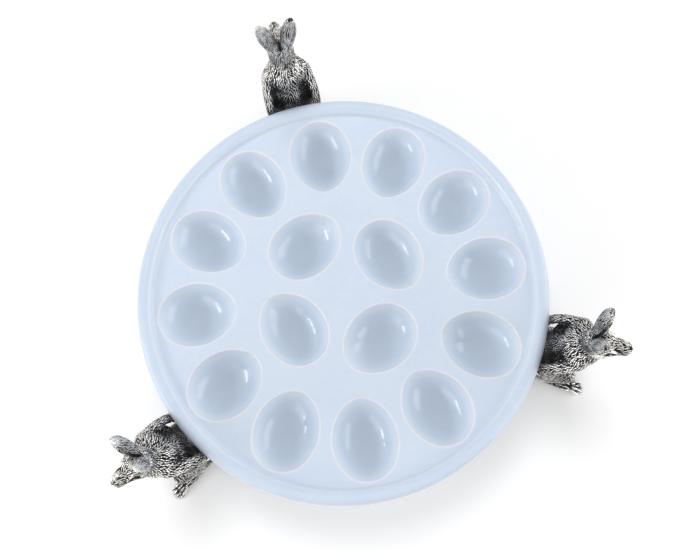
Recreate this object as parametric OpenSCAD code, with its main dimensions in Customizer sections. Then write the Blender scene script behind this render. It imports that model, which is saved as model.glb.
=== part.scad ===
/* [Tray] */
// Diameter of the tray over its rim
tray_d = 305; // [270:1:340]
// Height of the top of the rim above the table
rim_h = 75; // [70:1:82]
// Wall of the glazed stoneware
wall_t = 5; // [4:0.5:6]
// Drop from the top of the rim to the deck
deck_drop = 6; // [5:0.5:8]
// Radius of the cove between the deck and the rim
cove_r = 4; // [3:0.5:5]

/* [Egg wells] */
// Length of a well at its lip
well_l = 60; // [55:1:61]
// Width of a well at its lip
well_w = 49; // [44:1:50]
// Depth of a well below the deck
well_depth = 17.5; // [14:0.5:19]
// Number of wells in the outer ring
outer_wells = 12; // [9:1:12]
// Clearance between an outer well's lip and the rim's bead
well_margin = 3; // [2:0.5:5]
// Angle of the first outer well
outer_well_a = 84.6; // [80:0.1:90]
// Number of wells in the middle
inner_wells = 4; // [2:1:4]
// Clearance between the outer wells and the inner wells
inner_gap = 9; // [7:0.5:10]
// Angle of the first inner well
inner_well_a = 23.7; // [15:0.1:30]

/* [Support ring] */
// Width of the pewter ring under the rim
ring_w = 5.5; // [5:0.5:6]
// Thickness of the pewter ring
ring_t = 4; // [3:0.5:5]
// How far the ring lies inside the edge of the tray
ring_inset = 3.7; // [3.5:0.1:4.5]
// Number of silicone pads on the ring
pad_count = 6; // [3:3:12]
// Diameter of a pad
pad_d = 4.4; // [3.5:0.1:5]
// Thickness of a pad
pad_t = 1.5; // [1:0.1:2]

/* [Hares] */
// Distance from the edge of the tray to the middle of a hare
stand_off = 19.5; // [18:0.5:24]
// Height of the neck seat above the table
neck_h = 104; // [98:1:112]
// Depth of the trunk from back to chest
trunk_d = 26; // [24:0.5:27]
// Width of the trunk across the shoulders
trunk_w = 27; // [24:0.5:29]
// Length of a haunch from rump to knee
haunch_l = 37; // [34:0.5:39]
// Height of a haunch
haunch_h = 47; // [42:0.5:50]
// Width over both haunches
haunch_span = 41; // [38:0.5:44]
// Length of a hind foot
foot_l = 37; // [32:0.5:40]
// Width of a hind foot
foot_w = 9.5; // [8:0.5:11]
// Height of a hind foot at the ankle
foot_h = 8; // [7:0.5:9]
// Spread between the two feet, middle to middle
foot_spread = 30; // [27:0.5:32]

/* [Head and ears] */
// Length of the head from nape to nose
head_l = 30; // [28:0.5:33]
// Width of the head over the cheeks
head_w = 17.5; // [15.5:0.5:20]
// Height of the head
head_h = 18; // [16.5:0.5:20]
// Radius of an eye
eye_r = 2; // [1.6:0.1:2.4]
// Length of an ear from its seat to its tip
ear_l = 40; // [36:0.5:43]
// Width of an ear
ear_w = 10.5; // [9.5:0.5:11.5]
// Thickness of an ear's leaf
ear_t = 2.4; // [2:0.1:3]
// Sideways lean of an ear
ear_splay = 12; // [8:0.5:15]
// Backward lean of an ear
ear_rake = 4; // [0:0.5:8]

/* [Arms] */
// Thickness of a forearm
arm_t = 7; // [6:0.25:7.5]
// Height of the shoulder joint above the table
shoulder_h = 96; // [92:0.5:98]
// Spread between the two hands at the rim, middle to middle
hand_spread = 37; // [34:0.5:41]
// Gap between a forearm and the edge of the tray
rim_gap = 0.8; // [0.6:0.1:2]
// Length of a paw's fingers
finger_l = 7; // [5:0.5:8]

/* [Hidden] */

// Angles of the three hares round the tray
back_a = 90;
right_a = -29;
left_a = 209;

// Overrun of a cut past the solid that it cuts
over = 1;
// Sides of a thick loft and of a thin one
sides = 14;
few_sides = 12;

// Tray
tray_r = tray_d / 2;
deck_z = rim_h - deck_drop;
under_z = deck_z - wall_t;
bead_r = (deck_drop + wall_t) / 2;
bead_x = tray_r - bead_r;
bead_z = rim_h - bead_r;
cove_z = deck_z + cove_r;
cove_x = bead_x - sqrt(pow(cove_r + bead_r, 2) - pow(cove_z - bead_z, 2));
cove_share = bead_r / (cove_r + bead_r);
touch_x = bead_x + (cove_x - bead_x) * cove_share;
touch_z = bead_z + (cove_z - bead_z) * cove_share;

// Circles through the middles of the wells
outer_well_r = bead_x - bead_r - well_margin - well_l / 2;
inner_well_r = outer_well_r - well_l / 2 - inner_gap - well_w / 2;

// Egg form: a blunt end, a small end and a side arc that is tangent to both, all round one axis
blunt_share = 0.945;
tip_share = 0.66;
egg_r = (well_depth + pow(well_w / 2, 2) / well_depth) / 2;
egg_rise = egg_r - well_depth;
blunt_r = egg_r * blunt_share;
tip_r = egg_r * tip_share;
blunt_reach = sqrt(pow(blunt_r, 2) - pow(egg_rise, 2));
tip_reach = sqrt(pow(tip_r, 2) - pow(egg_rise, 2));
// Side arc: its radius is egg_r + side_k, found from the distance between the two end centres
ends_l = well_l - blunt_reach - tip_reach;
blunt_gap = egg_r - blunt_r;
tip_gap = egg_r - tip_r;
gap_product = blunt_gap * tip_gap;
ends_q = pow(ends_l, 2) - pow(blunt_gap, 2) - pow(tip_gap, 2);
ends_b = (blunt_gap + tip_gap) * (ends_q + 2 * gap_product);
ends_a = pow(blunt_gap - tip_gap, 2);
ends_c = pow(ends_q, 2) - 4 * pow(gap_product, 2);
side_k = (ends_b - sqrt(pow(ends_b, 2) - ends_a * ends_c)) / (2 * ends_a);
blunt_y = -sqrt(blunt_gap * (2 * side_k + blunt_gap));
tip_y = sqrt(tip_gap * (2 * side_k + tip_gap));
lip_mid_y = (tip_y + tip_reach + blunt_y - blunt_reach) / 2;

// Support ring
ring_r = tray_r - ring_inset;
ring_z = under_z - pad_t - ring_t;
ring_mid_r = ring_r - ring_w / 2;
seat_depth = 0.3;

// Hare, in its own frame: x runs outward from its middle, y to its left, z up
hare_x = tray_r + stand_off;
neck_x_share = 0.17;
neck_x = trunk_d * neck_x_share;
head_z = neck_h + head_h * 0.68;
axis_shift = (hare_x + foot_l * 0.86 - tray_r) / 2;

// Trunk sections, bottom to top: height as a share of neck_h, middle and half depth as shares of
// trunk_d, half width as a share of trunk_w
trunk_shares = [
    [0.02, -0.10, 0.36, 0.40], [0.08, -0.20, 0.58, 0.56], [0.18, -0.22, 0.68, 0.60],
    [0.30, -0.20, 0.69, 0.62], [0.42, -0.16, 0.63, 0.62], [0.54, -0.10, 0.57, 0.61],
    [0.66, -0.04, 0.53, 0.56], [0.77, 0.03, 0.52, 0.51], [0.86, 0.05, 0.50, 0.50],
    [0.92, 0.08, 0.45, 0.49], [0.96, 0.12, 0.40, 0.43], [1.00, 0.17, 0.34, 0.34]
];

// Haunch sections, bottom to top: height as a share of haunch_h, middle and half length as shares
// of haunch_l, half width as a share of the haunch's full width
haunch_shares = [
    [0.02, -0.10, 0.20, 0.16], [0.10, -0.12, 0.38, 0.34], [0.26, -0.14, 0.48, 0.47],
    [0.45, -0.14, 0.50, 0.50], [0.64, -0.14, 0.46, 0.47], [0.82, -0.15, 0.35, 0.37],
    [0.95, -0.17, 0.19, 0.22], [1.00, -0.18, 0.08, 0.09]
];
haunch_w_share = 0.40;

// Foot sections, heel to toes: place as a share of foot_l, half width as a share of foot_w, top as
// a share of foot_h
foot_shares = [
    [0.00, 0.18, 0.30], [0.08, 0.36, 0.72], [0.25, 0.45, 1.00], [0.45, 0.48, 0.92],
    [0.65, 0.50, 0.72], [0.80, 0.46, 0.52], [0.86, 0.34, 0.34]
];
toe_shares = [-0.36, -0.12, 0.12, 0.36];
toe_tip_shares = [0.93, 0.98, 1.00, 0.95];
toe_turn = 4;

// Head sections, nape to nose: place as a share of head_l, middle and half height as shares of
// head_h, half width as a share of head_w
head_shares = [
    [0.00, 0.13, 0.12, 0.10], [0.05, 0.11, 0.28, 0.25], [0.18, 0.05, 0.44, 0.42],
    [0.35, 0.00, 0.50, 0.50], [0.52, 0.00, 0.47, 0.47], [0.68, 0.04, 0.39, 0.38],
    [0.82, 0.09, 0.31, 0.30], [0.93, 0.14, 0.25, 0.24], [1.00, 0.17, 0.13, 0.12]
];
nape_x = neck_x - head_l * 0.31;

// Ear sections, seat to tip: place as a share of ear_l, half width and cup as shares of ear_w,
// thickness as a share of the ear's round root
ear_shares = [
    [0.00, 0.26, 0.00, 1.00], [0.10, 0.32, 0.04, 0.86], [0.22, 0.42, 0.13, 0.62],
    [0.38, 0.50, 0.20, 0.48], [0.55, 0.52, 0.22, 0.42], [0.72, 0.48, 0.19, 0.40],
    [0.86, 0.37, 0.13, 0.38], [0.95, 0.23, 0.06, 0.32], [1.00, 0.08, 0.01, 0.20]
];
ear_root = ear_w * 0.52;
ear_turn = 25;
ear_seat = [nape_x + head_l * 0.16, head_w * 0.205, head_z + head_h * 0.36];

// Arm route, shoulder to palm
shoulder_x = trunk_d * 0.06;
shoulder_y = trunk_w * 0.35;
arm_r = arm_t / 2;
palm_z = under_z - pad_t - ring_t / 2;
hand_y = hand_spread / 2;
hand_a = asin(hand_y / (ring_r - seat_depth));
seat_r = ring_r - seat_depth;
rim_x = tray_r * cos(asin(hand_y / tray_r)) + rim_gap + arm_r - hare_x;
arm_route = [
    [shoulder_x, shoulder_y, shoulder_h],
    [shoulder_x - arm_r / 2, shoulder_y + arm_r, shoulder_h - arm_r / 2],
    [shoulder_x - arm_t * 0.75, hand_y - arm_r * 0.8, shoulder_h - arm_t * 1.15],
    [rim_x + arm_t * 0.85, hand_y - arm_r * 0.15, rim_h + arm_t * 0.75],
    [rim_x + arm_t * 0.1, hand_y + arm_r * 0.05, rim_h - arm_t * 0.5],
    [rim_x - arm_t * 0.15, hand_y, rim_h - arm_t * 1.6],
    [rim_x - arm_t * 0.6, hand_y, palm_z],
    [rim_x - arm_t * 1.3, hand_y, palm_z]
];
arm_shares = [0.74, 0.76, 0.61, 0.48, 0.45, 0.44, 0.42, 0.42];

// Tail: length, width, clearance in its socket, and the flat seat on the rump that carries it
tail_l = 10;
tail_w = 10;
tail_gap = 0.3;
tail_z = haunch_h * 0.28;
tail_seat_x = -trunk_d * 0.74;
// Tail sections, root to tip: place outwards and rise as shares of tail_l, half width as a share
// of tail_w
tail_shares = [
    [0.00, 0.00, 0.40], [0.20, 0.06, 0.50], [0.45, 0.18, 0.52], [0.70, 0.34, 0.44],
    [0.90, 0.48, 0.27], [1.00, 0.55, 0.10]
];

function lerp(a, b, t) = a + (b - a) * t;

// A ring of points round c with half axes u and v
function ring(c, u, v, n = sides) = [for (i = [0:n - 1]) c + u * cos(360 * i / n) + v * sin(360 * i / n)];

function unit(v) = v / norm(v);

// One closed skin over a list of rings, each seen counterclockwise from the end it runs to
module skin(rings) {
    n = len(rings[0]);
    m = len(rings);
    side = [for (k = [0:m - 2]) for (j = [0:n - 1]) each let (a = k * n + j, b = k * n + (j + 1) % n)
        [[a, a + n, b + n], [a, b + n, b]]];
    low = [[for (j = [0:n - 1]) j]];
    high = [[for (j = [n - 1:-1:0]) (m - 1) * n + j]];
    polyhedron(points = [for (r = rings) each r], faces = concat(low, side, high));
}

// Half section of an egg form, its blunt end down, grown all round by grow
module half_egg(grow) {
    blunt = blunt_r + grow;
    tip = tip_r + grow;
    side = egg_r + side_k + grow;
    low = blunt_y * (1 + blunt / (side - blunt));
    high = tip_y * (1 + tip / (side - tip));
    intersection() {
        translate([0, blunt_y]) circle(blunt);
        translate([0, low - blunt]) square([blunt, blunt]);
    }
    intersection() {
        translate([-side_k, 0]) circle(side);
        translate([0, low]) square([egg_r + grow, high - low]);
    }
    intersection() {
        translate([0, tip_y]) circle(tip);
        translate([0, high]) square([tip, tip]);
    }
}

// An egg form lying along x with its small end towards +x, centred on the well's lip
module egg(grow) {
    translate([-lip_mid_y, 0, deck_z + egg_rise]) rotate([0, 90, 0])
        rotate_extrude($fn = 96) half_egg(grow);
}

// Puts its children at every well
module at_wells() {
    for (i = [0:outer_wells - 1])
        rotate([0, 0, outer_well_a + 360 * i / outer_wells])
            translate([outer_well_r, 0, 0]) rotate([0, 0, 180]) children();
    for (i = [0:inner_wells - 1])
        rotate([0, 0, inner_well_a + 360 * i / inner_wells])
            translate([inner_well_r, 0, 0]) rotate([0, 0, -90]) children();
}

module rim_section() {
    translate([0, under_z]) square([bead_x, wall_t]);
    translate([bead_x, bead_z]) circle(bead_r);
    difference() {
        polygon([
            [cove_x, under_z + wall_t / 2], [bead_x, under_z + wall_t / 2], [bead_x, bead_z],
            [touch_x, touch_z], [cove_x, touch_z]
        ]);
        translate([cove_x, cove_z]) circle(cove_r);
    }
}

module tray() {
    color([0.83, 0.88, 0.94]) translate([0, -axis_shift, 0]) difference() {
        union() {
            rotate_extrude($fn = 180) rim_section();
            intersection() {
                at_wells() egg(wall_t);
                cylinder(r = tray_r, h = under_z + wall_t / 2);
            }
        }
        at_wells() egg(0);
    }
}

module support_ring() {
    color([0.55, 0.55, 0.54]) translate([0, -axis_shift, ring_z]) difference() {
        rotate_extrude($fn = 180) translate([ring_r - ring_w, 0]) square([ring_w, ring_t]);
        for (a = [back_a, right_a, left_a], s = [-1, 1])
            rotate([0, 0, a + s * hand_a]) translate([seat_r, -arm_t, -over])
                cube([ring_w, arm_t * 2, ring_t + over * 2]);
    }
}

module ring_pads() {
    color([0.92, 0.92, 0.90]) translate([0, -axis_shift, ring_z + ring_t])
        for (i = [0:pad_count - 1])
            rotate([0, 0, back_a + 360 * (i + 0.5) / pad_count]) translate([ring_mid_r, 0, 0])
                cylinder(d = pad_d, h = pad_t, $fn = 32);
}

// Turns its children into a hare's place, facing outwards at angle a
module at_hare(a) {
    color([0.62, 0.62, 0.60]) translate([0, -axis_shift, 0]) rotate([0, 0, a])
        translate([hare_x, 0, 0]) children();
}

// Its child, on the left side for s = 1 and mirrored to the right side for s = -1
module on_side(s) {
    if (s > 0) children();
    else mirror([0, 1, 0]) children();
}

module trunk() {
    skin([for (p = trunk_shares)
        ring([p[1] * trunk_d, 0, p[0] * neck_h], [p[2] * trunk_d, 0, 0], [0, p[3] * trunk_w, 0])]);
}

module haunch() {
    w = haunch_span * haunch_w_share;
    skin([for (p = haunch_shares)
        ring([p[1] * haunch_l, (haunch_span - w) / 2, p[0] * haunch_h],
            [p[2] * haunch_l, 0, 0], [0, p[3] * w, 0], few_sides)]);
}

// The muscles that stand out on the body: knee, rump and shoulder blade, each between two balls
module muscles() {
    knee_r = haunch_h * 0.13;
    rump_r = haunch_h * 0.15;
    blade_r = trunk_w * 0.21;
    hull() {
        translate([haunch_l * 0.22, haunch_span * 0.305, haunch_h * 0.40]) sphere(knee_r, $fn = 8);
        translate([haunch_l * 0.25, haunch_span * 0.30, haunch_h * 0.66]) sphere(knee_r, $fn = 8);
    }
    hull() {
        translate([-haunch_l * 0.34, haunch_span * 0.22, haunch_h * 0.60]) sphere(rump_r, $fn = 8);
        translate([-haunch_l * 0.30, haunch_span * 0.22, haunch_h * 0.88]) sphere(rump_r, $fn = 8);
    }
    hull() {
        translate([-trunk_d * 0.20, trunk_w * 0.27, neck_h * 0.80]) sphere(blade_r, $fn = 8);
        translate([-trunk_d * 0.10, trunk_w * 0.24, neck_h * 0.90]) sphere(blade_r, $fn = 8);
    }
}

module foot() {
    heel_x = -foot_l * 0.14;
    toe_r = foot_w * 0.15;
    translate([heel_x, foot_spread / 2, 0]) rotate([0, 0, toe_turn]) {
        skin([for (p = foot_shares)
            ring([p[0] * foot_l, 0, p[2] * foot_h / 2 - toe_r / 2],
                [0, p[1] * foot_w, 0], [0, 0, p[2] * foot_h / 2], few_sides)]);
        for (i = [0:3]) hull() {
            translate([foot_l * 0.70, toe_shares[i] * foot_w, toe_r]) sphere(toe_r * 1.15, $fn = 6);
            translate([toe_tip_shares[i] * foot_l - toe_r, toe_shares[i] * foot_w * 1.1, toe_r * 0.8])
                sphere(toe_r, $fn = 6);
        }
    }
}

// An arm without its paw, cut flat where it seats in the shoulder
module arm_form() {
    difference() {
        skin(limb(arm_route, arm_shares * arm_t));
        translate([shoulder_x - trunk_d, shoulder_y - trunk_w, shoulder_h - trunk_d])
            cube([trunk_d * 2, trunk_w, trunk_d * 2]);
    }
}

module hare_body(a) {
    at_hare(a) difference() {
        union() {
            trunk();
            for (s = [-1, 1]) on_side(s) {
                haunch();
                muscles();
                foot();
            }
        }
        for (s = [-1, 1]) on_side(s) arm_form();
        tail_form(tail_gap);
        translate([0, 0, -foot_h]) cube([trunk_d * 4, trunk_w * 4, foot_h * 2], center = true);
    }
}

module skull() {
    skin([for (p = head_shares)
        ring([nape_x + p[0] * head_l, 0, head_z + p[1] * head_h],
            [0, p[3] * head_w, 0], [0, 0, p[2] * head_h])]);
}

module hare_head(a) {
    top = trunk_shares[len(trunk_shares) - 1];
    neck_u = [top[2] * trunk_d, 0, 0];
    neck_v = [0, top[3] * trunk_w, 0];
    at_hare(a) difference() {
        union() {
            skull();
            skin([
                ring([neck_x, 0, neck_h], neck_u, neck_v),
                ring([neck_x, 0, lerp(neck_h, head_z, 0.4)], neck_u, neck_v),
                ring([neck_x, 0, head_z], neck_u * 0.8, neck_v * 0.8)
            ]);
            for (s = [-1, 1]) on_side(s) {
                cheek();
                brow();
                eye();
                lip();
            }
        }
        for (s = [-1, 1]) on_side(s) at_ear() cylinder(r = ear_root * 0.6, h = ear_root, $fn = 24);
    }
}

module cheek() {
    hull() {
        translate([nape_x + head_l * 0.38, head_w * 0.28, head_z - head_h * 0.20])
            sphere(head_w * 0.20, $fn = 8);
        translate([nape_x + head_l * 0.58, head_w * 0.26, head_z - head_h * 0.20])
            sphere(head_w * 0.16, $fn = 8);
    }
}

module brow() {
    hull() {
        translate([nape_x + head_l * 0.50, head_w * 0.34, head_z + head_h * 0.12])
            sphere(eye_r * 0.8, $fn = 6);
        translate([nape_x + head_l * 0.66, head_w * 0.28, head_z + head_h * 0.13])
            sphere(eye_r * 0.6, $fn = 6);
    }
}

module eye() {
    hull() {
        translate([nape_x + head_l * 0.56, head_w * 0.38, head_z - head_h * 0.02])
            sphere(eye_r, $fn = 8);
        translate([nape_x + head_l * 0.60, head_w * 0.36, head_z - head_h * 0.02])
            sphere(eye_r, $fn = 8);
    }
}

module lip() {
    hull() {
        translate([nape_x + head_l * 0.84, head_w * 0.12, head_z + head_h * 0.01])
            sphere(head_w * 0.15, $fn = 8);
        translate([nape_x + head_l * 0.93, head_w * 0.08, head_z + head_h * 0.09])
            sphere(head_w * 0.12, $fn = 8);
    }
}

// The ear's own frame: z along the ear, y across it, x towards its open face
module at_ear() {
    translate(ear_seat) rotate([-ear_splay, -ear_rake, 0]) rotate([0, 0, ear_turn]) children();
}

function leaf(w, cup, t, z) =
    let (m = 6, back = [for (i = [0:m]) let (u = 1 - 2 * i / m)
        [-cup * (1 - u * u) - t / 2 * sqrt(1 - u * u), u * w, z]],
        front = [for (i = [1:m - 1]) let (u = -1 + 2 * i / m)
        [-cup * (1 - u * u) + t / 2 * sqrt(1 - u * u), u * w, z]])
    concat(back, front);

module ear(a, s) {
    at_hare(a) on_side(s) at_ear()
        skin([for (p = ear_shares)
            leaf(p[1] * ear_w, p[2] * ear_w, max(p[3] * ear_root, ear_t * p[3]), p[0] * ear_l)]);
}

// Rings of a limb that follows a route, each square to it
function limb(route, radii) = [for (i = [0:len(route) - 1])
    let (t = unit(route[min(i + 1, len(route) - 1)] - route[max(i - 1, 0)]),
        side = unit(cross([0, 0, 1], t)))
    ring(route[i], side * radii[i], cross(t, side) * radii[i], few_sides)];

module arm(a, s) {
    at_hare(a) on_side(s) difference() {
        union() {
            arm_form();
            paw();
        }
        translate([-hare_x, 0, 0]) rotate([0, 0, hand_a])
            translate([0, -tray_r, palm_z - ring_t * 0.7]) cube([seat_r, tray_r * 2, ring_t * 2]);
    }
}

module paw() {
    for (i = [0:3]) {
        y = hand_y + (i - 1.5) * finger_l * 0.27;
        r = finger_l * 0.2;
        base = [rim_x - arm_t * 0.6, y, palm_z];
        knuckle = [seat_r - hare_x, y, ring_z - r * 1.3];
        tip = [seat_r - hare_x - finger_l, y, ring_z - r * 1.3];
        hull() {
            translate(base) sphere(r, $fn = 6);
            translate(knuckle) sphere(r, $fn = 6);
        }
        hull() {
            translate(knuckle) sphere(r, $fn = 6);
            translate(tip) sphere(r * 0.8, $fn = 6);
        }
    }
}

// A tail, or the socket that clears it by gap
module tail_form(gap = 0) {
    skin([for (p = tail_shares) let (r = p[2] * tail_w + gap)
        ring([tail_seat_x - p[0] * tail_l, 0, tail_z + p[1] * tail_l], [0, -r, 0], [0, 0, r], few_sides)]);
}

module hare_tail(a) {
    at_hare(a) tail_form();
}

tray();
support_ring();
ring_pads();
hare_body(back_a);  // back_hare_body
hare_head(back_a);  // back_hare_head
ear(back_a, 1);  // back_hare_left_ear
ear(back_a, -1);  // back_hare_right_ear
arm(back_a, 1);  // back_hare_left_arm
arm(back_a, -1);  // back_hare_right_arm
hare_tail(back_a);  // back_hare_tail
hare_body(right_a);  // right_hare_body
hare_head(right_a);  // right_hare_head
ear(right_a, 1);  // right_hare_left_ear
ear(right_a, -1);  // right_hare_right_ear
arm(right_a, 1);  // right_hare_left_arm
arm(right_a, -1);  // right_hare_right_arm
hare_tail(right_a);  // right_hare_tail
hare_body(left_a);  // left_hare_body
hare_head(left_a);  // left_hare_head
ear(left_a, 1);  // left_hare_left_ear
ear(left_a, -1);  // left_hare_right_ear
arm(left_a, 1);  // left_hare_left_arm
arm(left_a, -1);  // left_hare_right_arm
hare_tail(left_a);  // left_hare_tail
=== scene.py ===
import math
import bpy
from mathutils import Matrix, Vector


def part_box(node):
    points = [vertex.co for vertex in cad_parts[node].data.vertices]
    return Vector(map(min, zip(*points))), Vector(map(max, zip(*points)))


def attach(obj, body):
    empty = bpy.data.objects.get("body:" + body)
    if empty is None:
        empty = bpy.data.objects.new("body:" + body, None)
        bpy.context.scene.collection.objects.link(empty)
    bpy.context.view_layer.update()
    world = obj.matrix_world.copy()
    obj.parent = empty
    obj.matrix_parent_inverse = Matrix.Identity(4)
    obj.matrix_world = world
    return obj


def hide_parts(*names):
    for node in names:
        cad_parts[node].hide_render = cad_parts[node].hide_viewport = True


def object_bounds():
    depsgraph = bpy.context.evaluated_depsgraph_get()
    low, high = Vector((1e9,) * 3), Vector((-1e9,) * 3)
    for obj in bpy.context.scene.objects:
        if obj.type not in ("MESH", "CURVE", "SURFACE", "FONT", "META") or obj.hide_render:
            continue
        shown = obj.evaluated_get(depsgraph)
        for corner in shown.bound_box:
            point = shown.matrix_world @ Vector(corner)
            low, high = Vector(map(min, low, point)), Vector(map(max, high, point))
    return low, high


bl_info = {
    "name": "Hare Egg Platter",
    "version": (1, 0, 0),
    "blender": (4, 5, 0),
    "location": "3D View > Sidebar > Egg Platter",
    "description": "Builds a glazed egg platter that three pewter hares carry on a ring",
    "category": "Add Mesh",
}

from types import SimpleNamespace

import bpy
import numpy as np
from bpy.props import FloatProperty, FloatVectorProperty, IntProperty, PointerProperty
from bpy.types import Operator, Panel, PropertyGroup
from mathutils import Euler, Matrix, Vector

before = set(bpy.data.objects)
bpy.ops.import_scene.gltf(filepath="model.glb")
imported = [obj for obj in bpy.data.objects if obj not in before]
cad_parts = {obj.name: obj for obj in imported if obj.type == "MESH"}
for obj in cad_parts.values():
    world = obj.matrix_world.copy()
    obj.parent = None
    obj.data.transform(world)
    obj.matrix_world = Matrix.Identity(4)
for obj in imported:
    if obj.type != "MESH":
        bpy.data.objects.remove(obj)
cad_low, cad_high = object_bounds()

MM = 0.001
TURN = 2 * math.pi

# The frame gives the tray's place, height and diameter
TRAY_LOW, TRAY_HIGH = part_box("tray")
TRAY_MIDDLE = (TRAY_LOW + TRAY_HIGH) / 2
TRAY_D = TRAY_HIGH.x - TRAY_LOW.x
RIM_H = TRAY_HIGH.z


def length(name, millimetres, description):
    """A size that the user can change, given in millimetres and held in metres"""
    return FloatProperty(
        name=name, description=description, default=millimetres * MM, min=0.0, unit="LENGTH",
        precision=4,
    )


def angle(name, degrees, description):
    return FloatProperty(
        name=name, description=description, default=math.radians(degrees), unit="ROTATION"
    )


def share(name, value, description, top=1.0):
    return FloatProperty(name=name, description=description, default=value, min=0.0, max=top)


def power(name, watts, description):
    return FloatProperty(
        name=name, description=description, default=watts, min=0.0, max=100.0, unit="POWER"
    )


def colour(name, red, green, blue, description):
    """A colour given as the 0 to 255 values of a picture, held as linear light"""
    linear = [((v / 255 + 0.055) / 1.055) ** 2.4 for v in (red, green, blue)]
    return FloatVectorProperty(
        name=name, description=description, default=linear, subtype="COLOR", size=3, min=0, max=1
    )


class TraySettings(PropertyGroup):
    """Sizes and colours of the glazed tray"""

    diameter: FloatProperty(
        name="Diameter", description="Width of the tray over its rim", default=TRAY_D,
        unit="LENGTH",
    )
    rim_height: FloatProperty(
        name="Rim Height", description="Height of the rim above the table", default=RIM_H,
        unit="LENGTH",
    )
    wall: length("Wall", 5, "Thickness of the stoneware")
    deck_drop: length("Deck Drop", 6, "Depth of the deck below the rim")
    cove: length("Cove", 2.6, "Radius between the deck and the rim")
    lip: length("Lip", 1.4, "Radius of the rounded lip of a well")
    well_length: length("Well Length", 60, "Length of a well over its lip")
    well_width: length("Well Width", 49, "Width of a well over its lip")
    well_depth: length("Well Depth", 17.5, "Depth of a well below the deck")
    outer_wells: IntProperty(name="Outer Wells", description="Wells in the outer ring", default=12)
    outer_radius: length("Outer Radius", 108.5, "Radius of the ring of outer wells")
    outer_angle: angle("Outer Angle", 84.6, "Angle of the first outer well")
    inner_wells: IntProperty(name="Inner Wells", description="Wells in the middle", default=4)
    inner_radius: length("Inner Radius", 45, "Radius of the ring of inner wells")
    inner_angle: angle("Inner Angle", 23.7, "Angle of the first inner well")
    glaze: colour("Glaze", 213, 226, 243, "Colour of the glaze")
    # Lip glaze: thinner glaze over the lips, also a painted highlight there and along the rim's
    # edge
    lip_glaze_and_highlight: colour("Lip Glaze", 240, 237, 243, "Colour of the glaze where it thins at a lip")
    # Wall glaze: paler colour on a well's upper wall and where the cove meets the bead, which is
    # painted light
    wall_highlight_glaze: colour("Wall Glaze", 228, 237, 247, "Colour of the glaze on the wall of a well")
    # Pooled glaze colour: darker glaze gathered in a well, and painted shade in the bowl
    pool_glaze_and_shade: colour("Pool Glaze", 189, 203, 219, "Colour of the glaze where it pools in a well")
    speck: colour("Specks", 70, 74, 80, "Colour of the iron specks in the glaze")


class PewterSettings(PropertyGroup):
    """Colours of the cast pewter and of the ring's pads"""

    silver: colour("Silver", 248, 245, 240, "Polished high spots of the pewter")
    patina: colour("Patina", 17, 17, 19, "Dark patina in the recesses of the pewter")
    pad: colour("Pad", 226, 226, 220, "Colour of the silicone pads")


class StageSettings(PropertyGroup):
    """Camera, floor and lights"""

    eye: FloatVectorProperty(
        name="Camera Place", description="Where the camera stands", subtype="TRANSLATION",
        unit="LENGTH", size=3, default=(-0.0039, -0.1334, 0.5772),
    )
    aim: FloatVectorProperty(
        name="Camera Turn", description="How the camera is turned", subtype="EULER",
        unit="ROTATION", size=3,
        default=(math.radians(12.63), math.radians(1.87), math.radians(-14.25)),
    )
    lens: FloatProperty(name="Lens", description="Focal length", default=36.0, unit="CAMERA")
    sky: share("Sky", 0.40, "Strength of the even light all round", 4.0)
    key: power("Key", 34.5, "Power of the soft light above the back")
    strip: power("Strip", 1.8, "Power of the low narrow light on the left")
    fill: power("Fill", 28.0, "Power of the low soft light on the right")
    side: power("Side", 18.0, "Power of the low soft light on the left")
    floor: colour("Floor", 246, 246, 246, "Colour of the floor")
    floor_glow: share("Floor Glow", 0.19, "Light that the floor adds where it is seen directly")


class Term:
    """An output of a node that can be used in a formula"""

    def __init__(self, tree, socket):
        self.tree, self.socket = tree, socket

    def __add__(self, other):
        return self.tree.math("ADD", self, other)

    def __sub__(self, other):
        return self.tree.math("SUBTRACT", self, other)

    def __rsub__(self, other):
        return self.tree.math("SUBTRACT", other, self)

    def __mul__(self, other):
        return self.tree.math("MULTIPLY", self, other)

    def __truediv__(self, other):
        return self.tree.math("DIVIDE", self, other)

    def __rtruediv__(self, other):
        return self.tree.math("DIVIDE", other, self)

    def __neg__(self):
        return self.tree.math("MULTIPLY", self, -1.0)

    __radd__ = __add__
    __rmul__ = __mul__


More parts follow.
